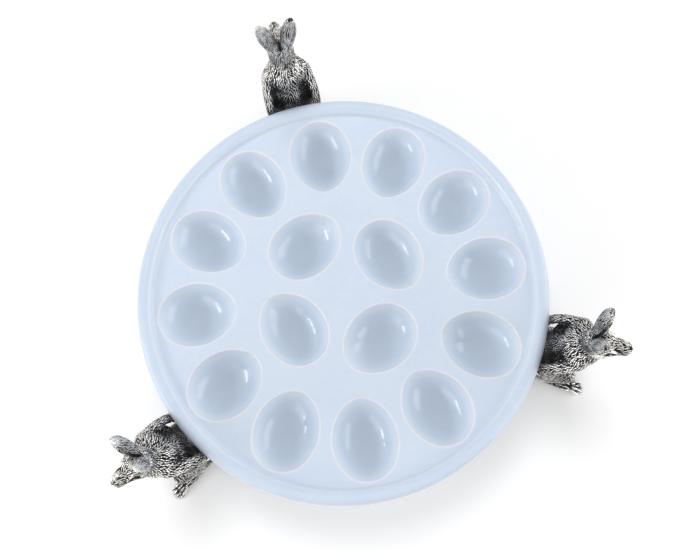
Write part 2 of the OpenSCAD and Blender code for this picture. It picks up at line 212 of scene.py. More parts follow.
class NodeTree:
    """A node tree written as calls and formulas"""

    def __init__(self, tree):
        self.tree = tree

    def node(self, kind, *values, **settings):
        """Adds a node; the values go to its enabled inputs in order, None leaves one alone"""
        node = self.tree.nodes.new(kind)
        for name, value in settings.items():
            setattr(node, name, value)
        for socket, value in zip([s for s in node.inputs if s.enabled], values):
            self.feed(socket, value)
        return node

    def feed(self, socket, value):
        if isinstance(value, Term):
            self.tree.links.new(value.socket, socket)
        elif value is not None:
            socket.default_value = value

    def out(self, node, name=None):
        """The named output of a node, or its first enabled one"""
        shown = [s for s in node.outputs if s.enabled and name in (None, s.name)]
        return Term(self, shown[0])

    def get(self, kind, *values, **settings):
        return self.out(self.node(kind, *values, **settings))

    def math(self, operation, *values):
        node = self.tree.nodes.new("ShaderNodeMath")
        node.operation = operation
        for socket, value in zip(node.inputs, values):
            self.feed(socket, value)
        return Term(self, node.outputs[0])

    def sqrt(self, value):
        return self.math("SQRT", self.math("MAXIMUM", value, 0.0))

    def clamp(self, value, low=0.0, high=1.0):
        return self.math("MINIMUM", self.math("MAXIMUM", value, low), high)

    def mix(self, start, end, part):
        return start + (end - start) * part

    def choose(self, test, yes, no):
        """yes where test is 1 and no where it is 0"""
        return no + (yes - no) * test

    def smooth_max(self, a, b, blend):
        near = self.math("MAXIMUM", blend - self.math("ABSOLUTE", a - b), 0.0) / blend
        return self.math("MAXIMUM", a, b) + near * near * blend * 0.25

    def vector(self, x, y, z):
        return self.get("ShaderNodeCombineXYZ", x, y, z)

    def blend_colour(self, start, end, part):
        node = self.tree.nodes.new("ShaderNodeMix")
        node.data_type = "RGBA"
        for index, value in ((0, part), (6, start), (7, end)):
            self.feed(node.inputs[index], value)
        return Term(self, node.outputs[2])

    def noise(self, place, scale, detail=2.0, roughness=0.5):
        return self.out(self.node("ShaderNodeTexNoise", place, scale, detail, roughness), "Fac")

    def bump(self, height, distance, strength=1.0, under=None):
        return self.get("ShaderNodeBump", strength, distance, None, height, under)

    def step(self, value, low, high, start=0.0, end=1.0):
        """Goes smoothly from start to end as value goes from low to high"""
        node = self.tree.nodes.new("ShaderNodeMapRange")
        node.interpolation_type = "SMOOTHSTEP"
        for socket, number in zip(node.inputs, (value, low, high, start, end)):
            self.feed(socket, number)
        return Term(self, node.outputs[0])


class ShapeTree(NodeTree):
    """A Geometry Nodes tree whose inputs are named sizes"""

    def __init__(self, name, numbers, geometry=False):
        super().__init__(bpy.data.node_groups.new(name, "GeometryNodeTree"))
        face = self.tree.interface
        face.new_socket("Geometry", in_out="OUTPUT", socket_type="NodeSocketGeometry")
        if geometry:
            face.new_socket("Geometry", in_out="INPUT", socket_type="NodeSocketGeometry")
        self.numbers = numbers
        for label, value in numbers.items():
            kind = "NodeSocketInt" if isinstance(value, int) else "NodeSocketFloat"
            face.new_socket(label, in_out="INPUT", socket_type=kind).default_value = value
        self.entry = self.node("NodeGroupInput")
        self.end = self.node("NodeGroupOutput")

    def size(self, label):
        return Term(self, self.entry.outputs[label])

    def place(self, geometry, position):
        return self.get("GeometryNodeSetPosition", geometry, None, position)

    def store(self, geometry, name, value, data_type="FLOAT"):
        return self.get(
            "GeometryNodeStoreNamedAttribute", geometry, None, name, value, data_type=data_type
        )

    def join(self, *parts):
        node = self.node("GeometryNodeJoinGeometry")
        for part in reversed(parts):
            self.tree.links.new(part.socket, node.inputs[0])
        return self.out(node)

    def finish(self, geometry, material, smooth=True):
        """Ends the tree in real geometry with its material"""
        geometry = self.get("GeometryNodeRealizeInstances", geometry)
        geometry = self.get("GeometryNodeSetShadeSmooth", geometry, None, smooth)
        geometry = self.get("GeometryNodeSetMaterial", geometry, None, material)
        self.feed(self.end.inputs[0], geometry)

    def run(self, name, mesh=None):
        """A new object holding the plain mesh that the tree makes"""
        source = bpy.data.objects.new(name, mesh or bpy.data.meshes.new(name))
        bpy.context.scene.collection.objects.link(source)
        modifier = source.modifiers.new(name, "NODES")
        modifier.node_group = self.tree
        for item in self.tree.interface.items_tree:
            if item.in_out == "INPUT" and item.name in self.numbers:
                modifier[item.identifier] = self.numbers[item.name]
        graph = bpy.context.evaluated_depsgraph_get()
        made = bpy.data.meshes.new_from_object(source.evaluated_get(graph), depsgraph=graph)
        bpy.data.objects.remove(source)
        made.name = name
        return made


def show(name, mesh, body, slot, *nodes):
    """Puts a finished mesh in the scene as the piece that stands for these nodes"""
    piece = bpy.data.objects.new(name, mesh)
    bpy.context.scene.collection.objects.link(piece)
    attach(piece, body)
    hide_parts(*nodes)
    return piece


class Finish(NodeTree):
    """A material's node tree round one Principled shader"""

    def __init__(self, name, **plain):
        self.material = bpy.data.materials.new(name)
        self.material.use_nodes = True
        super().__init__(self.material.node_tree)
        self.shader = self.tree.nodes["Principled BSDF"]
        for label, value in plain.items():
            self.shader.inputs[label.replace("_", " ")].default_value = value
        self.place = self.out(self.node("ShaderNodeTexCoord"), "Object")

    def set(self, label, value):
        self.feed(self.shader.inputs[label], value)

    def attribute(self, name, output="Fac"):
        return self.out(self.node("ShaderNodeAttribute", attribute_name=name), output)


class EffectTree(NodeTree):
    """A shader node group with named inputs and outputs, as kinds of socket"""

    def __init__(self, name, inputs, outputs):
        super().__init__(bpy.data.node_groups.new(name, "ShaderNodeTree"))
        for in_out, sockets in (("INPUT", inputs), ("OUTPUT", outputs)):
            for label, kind in sockets.items():
                self.tree.interface.new_socket(
                    label, in_out=in_out, socket_type=f"NodeSocket{kind}"
                )
        entry = self.node("NodeGroupInput")
        self.given = [Term(self, entry.outputs[label]) for label in inputs]

    def finish(self, *values):
        self.node("NodeGroupOutput", *values)
        return self.tree


def rgba(values):
    return (*values, 1.0)


def shaded(values, *factors):
    """A colour made darker, each of its three values by its own factor"""
    return rgba([value * factor for value, factor in zip(values, factors)])


# Egg form of a well: a blunt end, a small end and a side arc tangent to both, round one axis
BLUNT_SHARE = 0.945
TIP_SHARE = 0.66


def egg_sizes(s):
    """Radii and centres of the arcs of the egg form that fills a well up to its lip"""
    egg_r = (s.well_depth + (s.well_width / 2) ** 2 / s.well_depth) / 2
    rise = egg_r - s.well_depth
    blunt_r, tip_r = egg_r * BLUNT_SHARE, egg_r * TIP_SHARE
    blunt_reach, tip_reach = math.sqrt(blunt_r**2 - rise**2), math.sqrt(tip_r**2 - rise**2)
    ends = s.well_length - blunt_reach - tip_reach
    low, high = egg_r - blunt_r, egg_r - tip_r
    q = ends**2 - low**2 - high**2
    b = (low + high) * (q + 2 * low * high)
    a = (low - high) ** 2
    side_k = (b - math.sqrt(b * b - a * (q * q - 4 * (low * high) ** 2))) / (2 * a)
    blunt_x = -math.sqrt(low * (2 * side_k + low))
    tip_x = math.sqrt(high * (2 * side_k + high))
    return {
        "Egg Radius": egg_r,
        "Egg Rise": rise,
        "Blunt Radius": blunt_r,
        "Tip Radius": tip_r,
        "Blunt Place": blunt_x,
        "Tip Place": tip_x,
        "Side Offset": side_k,
        "Blunt Reach": blunt_reach,
        "Tip Reach": tip_reach,
        "Lip Middle": (tip_x + tip_reach + blunt_x - blunt_reach) / 2,
    }


# Rows and columns of the tray's meshes
WELL_COLUMNS = 96
LIP_ROWS = 7
BOWL_ROWS = 14
RIM_COLUMNS = 360
COVE_ROWS = 6
BEAD_ROWS = 24
UNDER_ROWS = 96
GUARD = 0.3 * MM
WELD = 0.01 * MM


def egg_point(t, nx, ny, nz):
    """The point of the egg form where its outward normal is nx, ny, nz, seen from its axis"""
    side_r = t.size("Egg Radius") + t.size("Side Offset")
    blunt_turn = t.size("Blunt Place") / (side_r - t.size("Blunt Radius"))
    tip_turn = t.size("Tip Place") / (side_r - t.size("Tip Radius"))
    blunt = t.math("LESS_THAN", nx, blunt_turn)
    tip = t.math("GREATER_THAN", nx, tip_turn)
    side = 1.0 - blunt - tip
    radius = blunt * t.size("Blunt Radius") + tip * t.size("Tip Radius") + side * side_r
    x = blunt * t.size("Blunt Place") + tip * t.size("Tip Place") + radius * nx
    around = t.sqrt(1.0 - nx * nx)
    swell = (radius * around - side * t.size("Side Offset")) / around
    return x, swell * ny, swell * nz


def lip_normal(t, turn):
    """Outward normal of the egg form where it meets the deck, at one turn round the lip"""
    rise = t.size("Egg Rise")

    def end(radius):
        return t.sqrt(1.0 - rise * rise / (radius * radius))

    blunt, tip = end(t.size("Blunt Radius")), end(t.size("Tip Radius"))
    nx = t.mix(-blunt, tip, t.math("COSINE", turn) * 0.5 + 0.5)
    around = t.sqrt(1.0 - nx * nx)
    x, reach, _ = egg_point(t, nx, around, 0.0)
    level = rise / reach
    ny = around * t.sqrt(1.0 - level * level) * t.math("SIGN", t.math("SINE", turn))
    return nx, ny, -(around * level)


def well_point(t, row, column):
    """A point of a well's surface: guard ring, rounded lip, then the bowl down to its middle"""
    turn = column * (TURN / WELL_COLUMNS)
    nx, ny, nz = lip_normal(t, turn)
    flat = t.sqrt(nx * nx + ny * ny)
    cx, cy = nx / flat, ny / flat
    lip_angle = t.math("ARCCOSINE", -nz)
    rounding = t.clamp((row - 1.0) / LIP_ROWS)
    down = t.clamp((row - 1.0 - LIP_ROWS) / BOWL_ROWS)
    tilt = lip_angle * (1.0 - down)
    sine, cosine = t.math("SINE", tilt), t.math("COSINE", tilt)
    x, y, z = egg_point(t, sine * cx, sine * cy, -cosine)
    lean = tilt * rounding
    lip_r = t.size("Lip")
    inward = lip_r * t.math("SINE", lean) - GUARD * t.clamp(1.0 - row)
    x = x - t.size("Lip Middle") - inward * cx
    y = y - inward * cy
    z = z + t.size("Egg Rise") + lip_r * (t.math("COSINE", lean) - 1.0)
    return t.vector(x, y, z), rounding, down


def grid(t, rows, columns):
    """A flat grid of rows by columns of vertices, with the row and column of each vertex"""
    mesh = t.get("GeometryNodeMeshGrid", 1.0, 1.0, rows, columns)
    index = t.get("GeometryNodeInputIndex")
    row = t.math("FLOOR", index / columns + 0.5 / columns)
    return mesh, row, index - row * columns


# Where the glaze is thinnest over a well's lip, as a share of its rows, and how soon it thickens
# across the lip and down the bowl; the pale mark there is thinner glaze and a painted highlight
CREST, CREST_FALL, BOWL_FALL = 0.55, 1.1, 20.0
# How far down a bowl its wall's colour, painted light on the upper wall, ends, and where the
# colour of pooled glaze with painted shade starts and is full
WALL_END, POOL_START, POOL_FULL = 0.45, 0.05, 0.75


def well_mesh(t):
    """The surface of one well with its lip, and the attributes that its glaze reads"""
    mesh, row, column = grid(t, LIP_ROWS + BOWL_ROWS + 2, WELL_COLUMNS + 1)
    point, rounding, down = well_point(t, row, column)
    mesh = t.place(mesh, point)
    from_crest = t.math("ABSOLUTE", rounding - CREST)
    # lip: thinner glaze over the lip, which also carries a painted highlight
    mesh = t.store(mesh, "lip", t.clamp(1.0 - from_crest * CREST_FALL - down * BOWL_FALL))
    # wall: painted light, a paler band across the lip and down the upper wall
    mesh = t.store(mesh, "wall", rounding * t.step(down, WALL_END, 0.0))
    # Darker pooled glaze down the bowl, which is also painted shade
    mesh = t.store(mesh, "pool", t.step(down, POOL_START, POOL_FULL))
    return t.get("GeometryNodeFlipFaces", mesh)


def well_outline(t):
    mesh = t.get("GeometryNodeMeshCircle", WELL_COLUMNS, 1.0)
    edge = well_point(t, t.get("ShaderNodeValue") * 0.0, t.get("GeometryNodeInputIndex"))[0]
    return t.get("GeometryNodeMeshToCurve", t.place(mesh, edge))


def at_wells(t, shape):
    """The shape at each well: outer ones point at the middle, inner ones go round it"""
    rings = []
    for name, turn in (("Outer", math.pi), ("Inner", -math.pi / 2)):
        count = t.size(f"{name} Wells")
        heading = t.size(f"{name} Angle") + t.get("GeometryNodeInputIndex") * TURN / count
        radius = t.size(f"{name} Radius")
        spot = t.vector(radius * t.math("COSINE", heading), radius * t.math("SINE", heading), 0.0)
        points = t.get("GeometryNodePoints", count, spot)
        facing = t.get("FunctionNodeEulerToRotation", t.vector(0.0, 0.0, heading + turn))
        rings.append(
            t.get("GeometryNodeInstanceOnPoints", points, None, shape, None, None, facing)
        )
    return t.get("GeometryNodeRealizeInstances", t.join(*rings))


def bead_sizes(t):
    """Bead of the rim and the cove that meets it, as seen in the section, deck at zero"""
    bead_r = (t.size("Deck Drop") + t.size("Wall")) * 0.5
    bead_x = t.size("Tray Radius") - bead_r
    bead_z = t.size("Deck Drop") - bead_r
    cove_r = t.size("Cove")
    up = cove_r - bead_z
    reach = cove_r + bead_r
    cove_x = bead_x - t.sqrt(reach * reach - up * up)
    return bead_r, bead_x, bead_z, cove_r, cove_x, up


# Rows of the cove that the wall's colour, a painted highlight, reaches over, as a share, and the
# turns round the bead where its pale outer edge, a painted highlight, starts and is full
RIM_WALL = 0.6
EDGE_START, EDGE_FULL = 0.85, 0.35


def rim_mesh(t):
    """The cove and the rolled rim, with the attributes that their glaze reads"""
    bead_r, bead_x, bead_z, cove_r, cove_x, up = bead_sizes(t)
    mesh, row, column = grid(t, COVE_ROWS + BEAD_ROWS + 1, RIM_COLUMNS + 1)
    meet = t.math("ARCTAN2", up, bead_x - cove_x)
    cove_turn = (math.pi / 2 - meet) * t.clamp(row / COVE_ROWS)
    bead_part = t.clamp((row - COVE_ROWS) / BEAD_ROWS)
    bead_turn = t.mix(math.pi - meet, -math.pi / 2, bead_part)
    on_bead = t.math("GREATER_THAN", row, COVE_ROWS - 0.5)
    cove_at = cove_x + cove_r * t.math("SINE", cove_turn)
    cove_up = cove_r - cove_r * t.math("COSINE", cove_turn)
    bead_at = bead_x + bead_r * t.math("COSINE", bead_turn)
    bead_up = bead_z + bead_r * t.math("SINE", bead_turn)
    radius = t.choose(on_bead, bead_at, cove_at)
    height = t.choose(on_bead, bead_up, cove_up)
    mesh = t.place(mesh, around(t, radius, column, height))
    crest = t.math("ABSOLUTE", row - COVE_ROWS - 1.0)
    # wall: painted highlight, a paler band where the cove meets the bead
    mesh = t.store(mesh, "wall", t.step(crest, COVE_ROWS * RIM_WALL, 0.0))
    # lip here: a painted highlight along the bead's outer edge
    return t.store(mesh, "lip", t.step(bead_turn, EDGE_START, EDGE_FULL))


def around(t, radius, column, height):
    heading = column * (TURN / RIM_COLUMNS)
    return t.vector(
        radius * t.math("COSINE", heading), radius * t.math("SINE", heading), height
    )


def bulge_depth(t, radius, heading, name, turned):
    """Depth below the deck of the nearest well's outer form, in one ring of wells"""
    pitch = TURN / t.size(f"{name} Wells")
    from_first = heading - t.size(f"{name} Angle") + pitch * 0.5
    near = t.math("FLOORED_MODULO", from_first, pitch) - pitch * 0.5
    out = radius * t.math("COSINE", near) - t.size(f"{name} Radius")
    off = radius * t.math("SINE", near)
    along, across = (-off, out) if turned else (-out, off)
    along = along + t.size("Lip Middle")
    wall = t.size("Wall")
    side_r = t.size("Egg Radius") + t.size("Side Offset") + wall

    def end(place, end_r):
        grown = end_r + wall
        stop = place * (1.0 + grown / (side_r - grown))
        shift = along - place
        return stop, t.sqrt(grown * grown - shift * shift)

    blunt_stop, blunt = end(t.size("Blunt Place"), t.size("Blunt Radius"))
    tip_stop, tip = end(t.size("Tip Place"), t.size("Tip Radius"))
    side = t.sqrt(side_r * side_r - along * along) - t.size("Side Offset")
    meridian = t.choose(t.math("LESS_THAN", along, blunt_stop), blunt, side)
    meridian = t.choose(t.math("GREATER_THAN", along, tip_stop), tip, meridian)
    return t.sqrt(meridian * meridian - across * across) - t.size("Egg Rise")


# How softly the outer forms of the wells run into the underside
UNDER_BLEND = 2 * MM


def under_mesh(t):
    """The underside: a flat disc with the bowls' outer forms rounded into it"""
    _, bead_x, _, _, _, _ = bead_sizes(t)
    mesh, row, column = grid(t, UNDER_ROWS + 1, RIM_COLUMNS + 1)
    radius = bead_x * row / UNDER_ROWS
    heading = column * (TURN / RIM_COLUMNS)
    depth = t.size("Wall")
    for name, turned in (("Outer", False), ("Inner", True)):
        depth = t.smooth_max(depth, bulge_depth(t, radius, heading, name, turned), UNDER_BLEND)
    mesh = t.place(mesh, around(t, radius, column, -depth))
    return t.get("GeometryNodeFlipFaces", mesh)


def deck_mesh(t):
    """The flat deck between the wells and the cove"""
    cove_x = bead_sizes(t)[4]
    edge = t.get("GeometryNodeCurvePrimitiveCircle", RIM_COLUMNS, cove_x)
    curves = t.join(edge, at_wells(t, well_outline(t)))
    return t.get("GeometryNodeFillCurve", curves, None, mode="TRIANGLES")


# Settings that are inputs of the tray's tree as they are
TRAY_INPUTS = (
    "rim_height", "wall", "deck_drop", "cove", "lip", "outer_wells", "outer_radius",
    "outer_angle", "inner_wells", "inner_radius", "inner_angle",
)


class EGGPLATTER_OT_tray(Operator):
    """Makes the glazed tray with its ring of egg wells"""

    bl_idname = "eggplatter.tray"
    bl_label = "Make Tray"

    def execute(self, context):
        s = context.scene.egg_tray
        numbers = {name.replace("_", " ").title(): getattr(s, name) for name in TRAY_INPUTS}
        t = ShapeTree("tray_form", {"Tray Radius": s.diameter / 2, **numbers, **egg_sizes(s)})
        parts = t.join(at_wells(t, well_mesh(t)), deck_mesh(t), rim_mesh(t), under_mesh(t))
        whole = t.get("GeometryNodeMergeByDistance", parts, None, WELD)
        lift = t.vector(TRAY_MIDDLE.x, TRAY_MIDDLE.y, t.size("Rim Height") - t.size("Deck Drop"))
        t.finish(t.get("GeometryNodeTransform", whole, lift), glaze(s))
        show("glazed_tray", t.run("glazed_tray"), "tray", "glaze", "tray")
        return {"FINISHED"}


# Scales of the glaze's patterns: cloudy patches, mottle, waves, and cells that may hold a speck;
# share of the cells that hold none, radii of a speck, and the factors of the darker patches
GLAZE_CLOUD, GLAZE_MOTTLE, GLAZE_WAVE, GLAZE_CELLS = 22.0, 160.0, 34.0, 42.0
BARE_CELLS = 0.86
SPECK_EDGE, SPECK_CORE = 0.028, 0.012
GLAZE_DEEP = (0.955, 0.97, 0.985)
# Shares of cloud and mottle in the patches, and how far a lip and the mottle make the glaze
# thinner; at a lip the pale colour is also a painted highlight
CLOUD_SHARE, MOTTLE_SHARE = 0.7, 0.3
LIP_THINS, MOTTLE_THINS = 0.85, 0.2
# How much shows of the lip's colour, which is thinner glaze and a painted highlight, and of the
# specks' colour
LIP_SHOWS, SPECK_SHOWS = 0.9, 0.75
# Roughness of the glaze at its smoothest and dullest, and the height of its waves and mottle
GLAZE_SMOOTH, GLAZE_DULL = 0.09, 0.15
WAVE_HEIGHT, MOTTLE_HEIGHT = 0.25 * MM, 0.03 * MM


def glaze(s):
    """Pale blue glaze, thinner and warmer at the lips with a painted highlight there, paler on the
    upper walls with painted light, deeper in the wells with painted shade, with a few iron specks
    """
    f = Finish("glaze", IOR=1.5)
    cloud = f.noise(f.place, GLAZE_CLOUD, 3.0)
    mottle = f.noise(f.place, GLAZE_MOTTLE, 3.0, 0.6)
    base = rgba(s.glaze)
    deep = shaded(s.glaze, *GLAZE_DEEP)
    patches = cloud * CLOUD_SHARE + mottle * MOTTLE_SHARE
    tone = f.blend_colour(deep, base, f.step(patches, 0.35, 0.6))
    thin_glaze_and_highlight = f.clamp(f.attribute("lip") * LIP_THINS + (mottle - 0.5) * MOTTLE_THINS)
    # Painted light: the paler band on the upper walls of the wells and where the cove meets the
    # bead
    tone = f.blend_colour(tone, rgba(s.wall_highlight_glaze), f.attribute("wall"))
    # Painted highlight in the thinner glaze's pale colour over the lips and along the rim's edge
    tone = f.blend_colour(tone, rgba(s.lip_glaze_and_highlight), f.step(thin_glaze_and_highlight, 0.0, 0.9) * LIP_SHOWS)
    # Painted shade with the pooled glaze: darker down each bowl
    tone = f.blend_colour(tone, rgba(s.pool_glaze_and_shade), f.attribute("pool"))
    cells = f.node("ShaderNodeTexVoronoi", f.place, GLAZE_CELLS)
    pick = f.get("ShaderNodeSeparateColor", f.out(cells, "Color"))
    rare = f.math("GREATER_THAN", pick, BARE_CELLS)
    speck = f.step(f.out(cells, "Distance"), SPECK_EDGE, SPECK_CORE) * rare
    f.set("Base Color", f.blend_colour(tone, rgba(s.speck), speck * SPECK_SHOWS))
    f.set("Roughness", f.mix(GLAZE_SMOOTH, GLAZE_DULL, mottle))
    wave = f.bump(f.noise(f.place, GLAZE_WAVE, 1.0), WAVE_HEIGHT, 0.35)
    f.set("Normal", f.bump(mottle, MOTTLE_HEIGHT, 0.3, wave))
    return f.material


# The hare is sculpted in millimetres in its own frame: x outward, y to its left, z up.
# Only the left half is worked out, and the right half mirrors it.
GRID_STEP = 0.6
GRID_LOW = np.array([-38.0, 0.0, -7.0])
GRID_HIGH = np.array([40.0, 30.0, 172.0])
# Reach of a form's distances, the value beyond it, and the stretch that is taken out of them
REACH = 7.0
FAR = 9.0
STRETCH_LOW, STRETCH_HIGH = 0.7, 2.5

# Trunk sections, bottom to top: height as a share of the neck's height, middle and half depth as
# shares of the trunk's depth, half width as a share of its width
TRUNK_SHARES = (
    (0.02, -0.10, 0.36, 0.40), (0.08, -0.20, 0.57, 0.56), (0.18, -0.22, 0.67, 0.60),
    (0.30, -0.20, 0.68, 0.61), (0.42, -0.16, 0.61, 0.60), (0.54, -0.10, 0.55, 0.58),
    (0.66, -0.04, 0.51, 0.53), (0.77, 0.03, 0.50, 0.49), (0.86, 0.05, 0.48, 0.48),
    (0.92, 0.08, 0.44, 0.47), (0.96, 0.12, 0.39, 0.42), (1.00, 0.17, 0.33, 0.33),
)
# Haunch sections, bottom to top: height as a share of its height, middle and half length as
# shares of its length, half width as a share of its full width
HAUNCH_SHARES = (
    (0.02, -0.10, 0.20, 0.16), (0.10, -0.12, 0.38, 0.34), (0.26, -0.14, 0.48, 0.47),
    (0.45, -0.14, 0.50, 0.50), (0.64, -0.14, 0.46, 0.47), (0.82, -0.15, 0.35, 0.37),
    (0.95, -0.17, 0.19, 0.22), (1.00, -0.18, 0.08, 0.09),
)
HAUNCH_WIDTH_SHARE = 0.40
# Foot sections, heel to toes: place as a share of its length, half width as a share of its width,
# top as a share of its height
FOOT_SHARES = (
    (0.00, 0.18, 0.30), (0.08, 0.36, 0.72), (0.25, 0.45, 1.00), (0.45, 0.48, 0.90),
    (0.60, 0.46, 0.66), (0.72, 0.36, 0.40), (0.80, 0.22, 0.22),
)
TOE_SHARES = (-0.42, -0.14, 0.14, 0.42)
TOE_TIP_SHARES = (0.93, 0.98, 1.00, 0.95)
# Head sections, nape to nose: place as a share of its length, middle and half height as shares of
# its height, half width as a share of its width
HEAD_SHARES = (
    (0.00, 0.13, 0.12, 0.10), (0.05, 0.11, 0.28, 0.25), (0.18, 0.05, 0.44, 0.42),
    (0.35, 0.00, 0.49, 0.47), (0.52, 0.00, 0.46, 0.43), (0.68, 0.03, 0.38, 0.35),
    (0.82, 0.07, 0.30, 0.28), (0.93, 0.11, 0.23, 0.22), (1.00, 0.13, 0.12, 0.12),
)
# Ear sections, seat to tip: place as a share of its length, half width and cup as shares of its
# width, thickness as a share of its round root
EAR_SHARES = (
    (0.00, 0.26, 0.00, 1.00), (0.10, 0.32, 0.04, 0.82), (0.22, 0.42, 0.13, 0.56),
    (0.38, 0.50, 0.20, 0.42), (0.55, 0.52, 0.22, 0.37), (0.72, 0.48, 0.19, 0.35),
    (0.86, 0.37, 0.13, 0.33), (0.95, 0.23, 0.06, 0.29), (1.00, 0.10, 0.01, 0.22),
)
EAR_ROOT_SHARE = 0.52
EAR_SEAT_SHARES = (0.16, 0.205, 0.36)
EAR_ROOT = ((-0.6, 0, 1.0), (3.2, 3.4, 4.2))
# Muscles of the body as ellipsoids: blend, middle, half size
MUSCLES = {
    "chest": (6, (8.0, 0, 82), (6.5, 9.5, 15)),
    "shoulder": (5, (-3.5, 7.0, 90), (7.5, 6.5, 12)),
    "knee": (4, (9.5, 12.6, 26), (6.5, 6.2, 12)),
    "rump": (4, (-12, 9.8, 37), (8.5, 7.8, 13)),
    "flank": (4, (-8, 9.5, 68), (7.0, 8.3, 15)),
}
# Routes down the spine and up the neck, with the radii along them
SPINE = ([(-6.5, 0, 94), (-9.6, 0, 80), (-12.6, 0, 62)], [3, 3, 3])
NECK = ([(2.6, 0, 99), (3.7, 0, 106), (3.6, 0, 112)], [9.4, 8.4, 7.6])
# Forms of the head as ellipsoids: blend, middle as shares of its length, width and height, half
# size, the way of the fur and how much there is
BACK_OVER = (-1.0, 0.25, -0.35)
HEAD_FORMS = {
    "cheek": (1.0, (0.36, 0.30, -0.16), (7.6, 4.6, 7.4), (-0.8, 0.3, -0.6), 1.0),
    "crown": (3.0, (0.33, 0.12, 0.22), (7.5, 6.5, 5.6), BACK_OVER, 1.0),
    "lip": (1.2, (0.885, 0.115, 0.0), (4.0, 2.7, 3.2), (-1, 0.2, 0), 0.15),
    "chin": (1.4, (0.80, 0.0, -0.17), (5.2, 3.0, 2.6), (-1, 0, 0), 0.2),
    "nose": (0.8, (0.985, 0.0, 0.125), (1.5, 2.1, 1.4), (-1, 0, 0), 0.0),
    "bridge": (2.0, (0.72, 0.0, 0.22), (7.0, 3.2, 3.2), (-1, 0.1, 0), 0.4),
}
# Brow and lower lid: blend, points as shares of the head, radii
LIDS = (
    (0.9, ((0.40, 0.29, 0.27), (0.51, 0.325, 0.32), (0.62, 0.30, 0.28), (0.69, 0.28, 0.19)),
     (0.7, 1.15, 1.0, 0.6)),
    (0.7, ((0.41, 0.37, 0.07), (0.50, 0.40, 0.0), (0.61, 0.385, 0.01), (0.69, 0.32, 0.11)),
     (0.5, 0.8, 0.8, 0.5)),
)
# The eye, its socket and a nostril: middle as shares of the head, half size; the mouth's crease:
# points as shares of the head, radii
EYE = ((0.55, 0.325, 0.145), (2.3, 2.1, 2.1))
SOCKET = ((0.55, 0.42, 0.17), (4.0, 2.2, 2.9))
NOSTRIL = ((0.985, 0.075, 0.15), (0.8, 0.5, 0.6))
MOUTH = (
    ((0.99, 0.05, 0.09), (0.95, 0.16, 0.02), (0.86, 0.26, -0.10), (0.76, 0.30, -0.14)),
    (0.35, 0.35, 0.4, 0.3),
)
# How far the feet point outward in degrees, and the radii of a toe and of its claw
FOOT_TURN = 4.0
TOE_RADII = (1.2, 1.35, 1.3, 1.05)
CLAW_RADII = (0.85, 0.35)
# Radii of an arm from shoulder to palm as shares of its thickness, and the fingers of a paw
ARM_RADII_SHARES = (0.74, 0.75, 0.60, 0.47, 0.44, 0.42, 0.38)
FINGERS = 4
# Half size of the tail and its turn in degrees
TAIL_HALF = (5.6, 4.9, 5.2)
TAIL_TURN = 28.0


class HareSettings(PropertyGroup):
    """Sizes of a hare"""

    stand_off: length("Stand-off", 19.5, "From the edge of the tray to the middle of a hare")
    neck_h: length("Neck Height", 104, "Height of the neck above the table")
    trunk_d: length("Trunk Depth", 26, "Depth of the trunk from back to chest")
    trunk_w: length("Trunk Width", 27, "Width of the trunk across the shoulders")
    haunch_l: length("Haunch Length", 37, "Length of a haunch from rump to knee")
    haunch_h: length("Haunch Height", 47, "Height of a haunch")
    haunch_span: length("Haunch Span", 41, "Width over both haunches")
    foot_l: length("Foot Length", 37, "Length of a hind foot")
    foot_w: length("Foot Width", 9.5, "Width of a hind foot")
    foot_h: length("Foot Height", 8, "Height of a hind foot at the ankle")
    foot_spread: length("Foot Spread", 30, "From the middle of one foot to the other")
    head_l: length("Head Length", 30, "Length of the head from nape to nose")
    head_w: length("Head Width", 17.5, "Width of the head over the cheeks")
    head_h: length("Head Height", 18, "Height of the head")
    ear_l: length("Ear Length", 39.5, "Length of an ear")
    ear_w: length("Ear Width", 10.5, "Width of an ear")
    ear_splay: angle("Ear Splay", 12, "Sideways lean of an ear")
    ear_rake: angle("Ear Rake", 4, "Backward lean of an ear")
    ear_turn: angle("Ear Turn", 25, "How far the open face of an ear turns outward")
    arm_t: length("Arm Thickness", 7, "Thickness of a forearm")
    shoulder_h: length("Shoulder Height", 96, "Height of the shoulder above the table")
    hand_spread: length("Hand Spread", 37, "From the middle of one hand to the other")
    finger_l: length("Finger Length", 7, "Length of a paw's fingers")
    stroke_l: length("Stroke Length", 4.4, "Length of a raised stroke of fur")
    stroke_w: length("Stroke Width", 0.62, "Half width of a raised stroke of fur")
    stroke_h: length("Stroke Height", 0.5, "Height of a raised stroke of fur")
    stroke_gap: length("Stroke Gap", 1.62, "Least distance between strokes of fur")


def refine(rows, steps=6):
    """Points of a smooth curve through the rows of a table"""
    rows = np.asarray(rows, float)
    ends = np.vstack([2 * rows[0] - rows[1], rows, 2 * rows[-1] - rows[-2]])
    fine = []
    for i in range(1, len(ends) - 2):
        a, b, c, d = ends[i - 1:i + 3]
        for t in np.arange(steps) / steps:
            fine.append(
                b + 0.5 * t * (c - a + t * (2 * a - 5 * b + 4 * c - d + t * (3 * (b - c) + d - a)))
            )
    return np.array([*fine, rows[-1]])


def size_of(vectors):
    return np.sqrt(np.einsum("...i,...i->...", vectors, vectors))


class Form:
    """One swelling of the sculpture, with its reach and the way that its fur runs"""

    def __init__(self, group, blend, low, high, fur, coat=1.0):
        self.group, self.blend, self.fur, self.coat = group, blend, fur, coat
        self.low, self.high = np.asarray(low, float), np.asarray(high, float)

    def fur_at(self, points):
        if callable(self.fur):
            return self.fur(points)
        return np.broadcast_to(np.asarray(self.fur, float), points.shape)


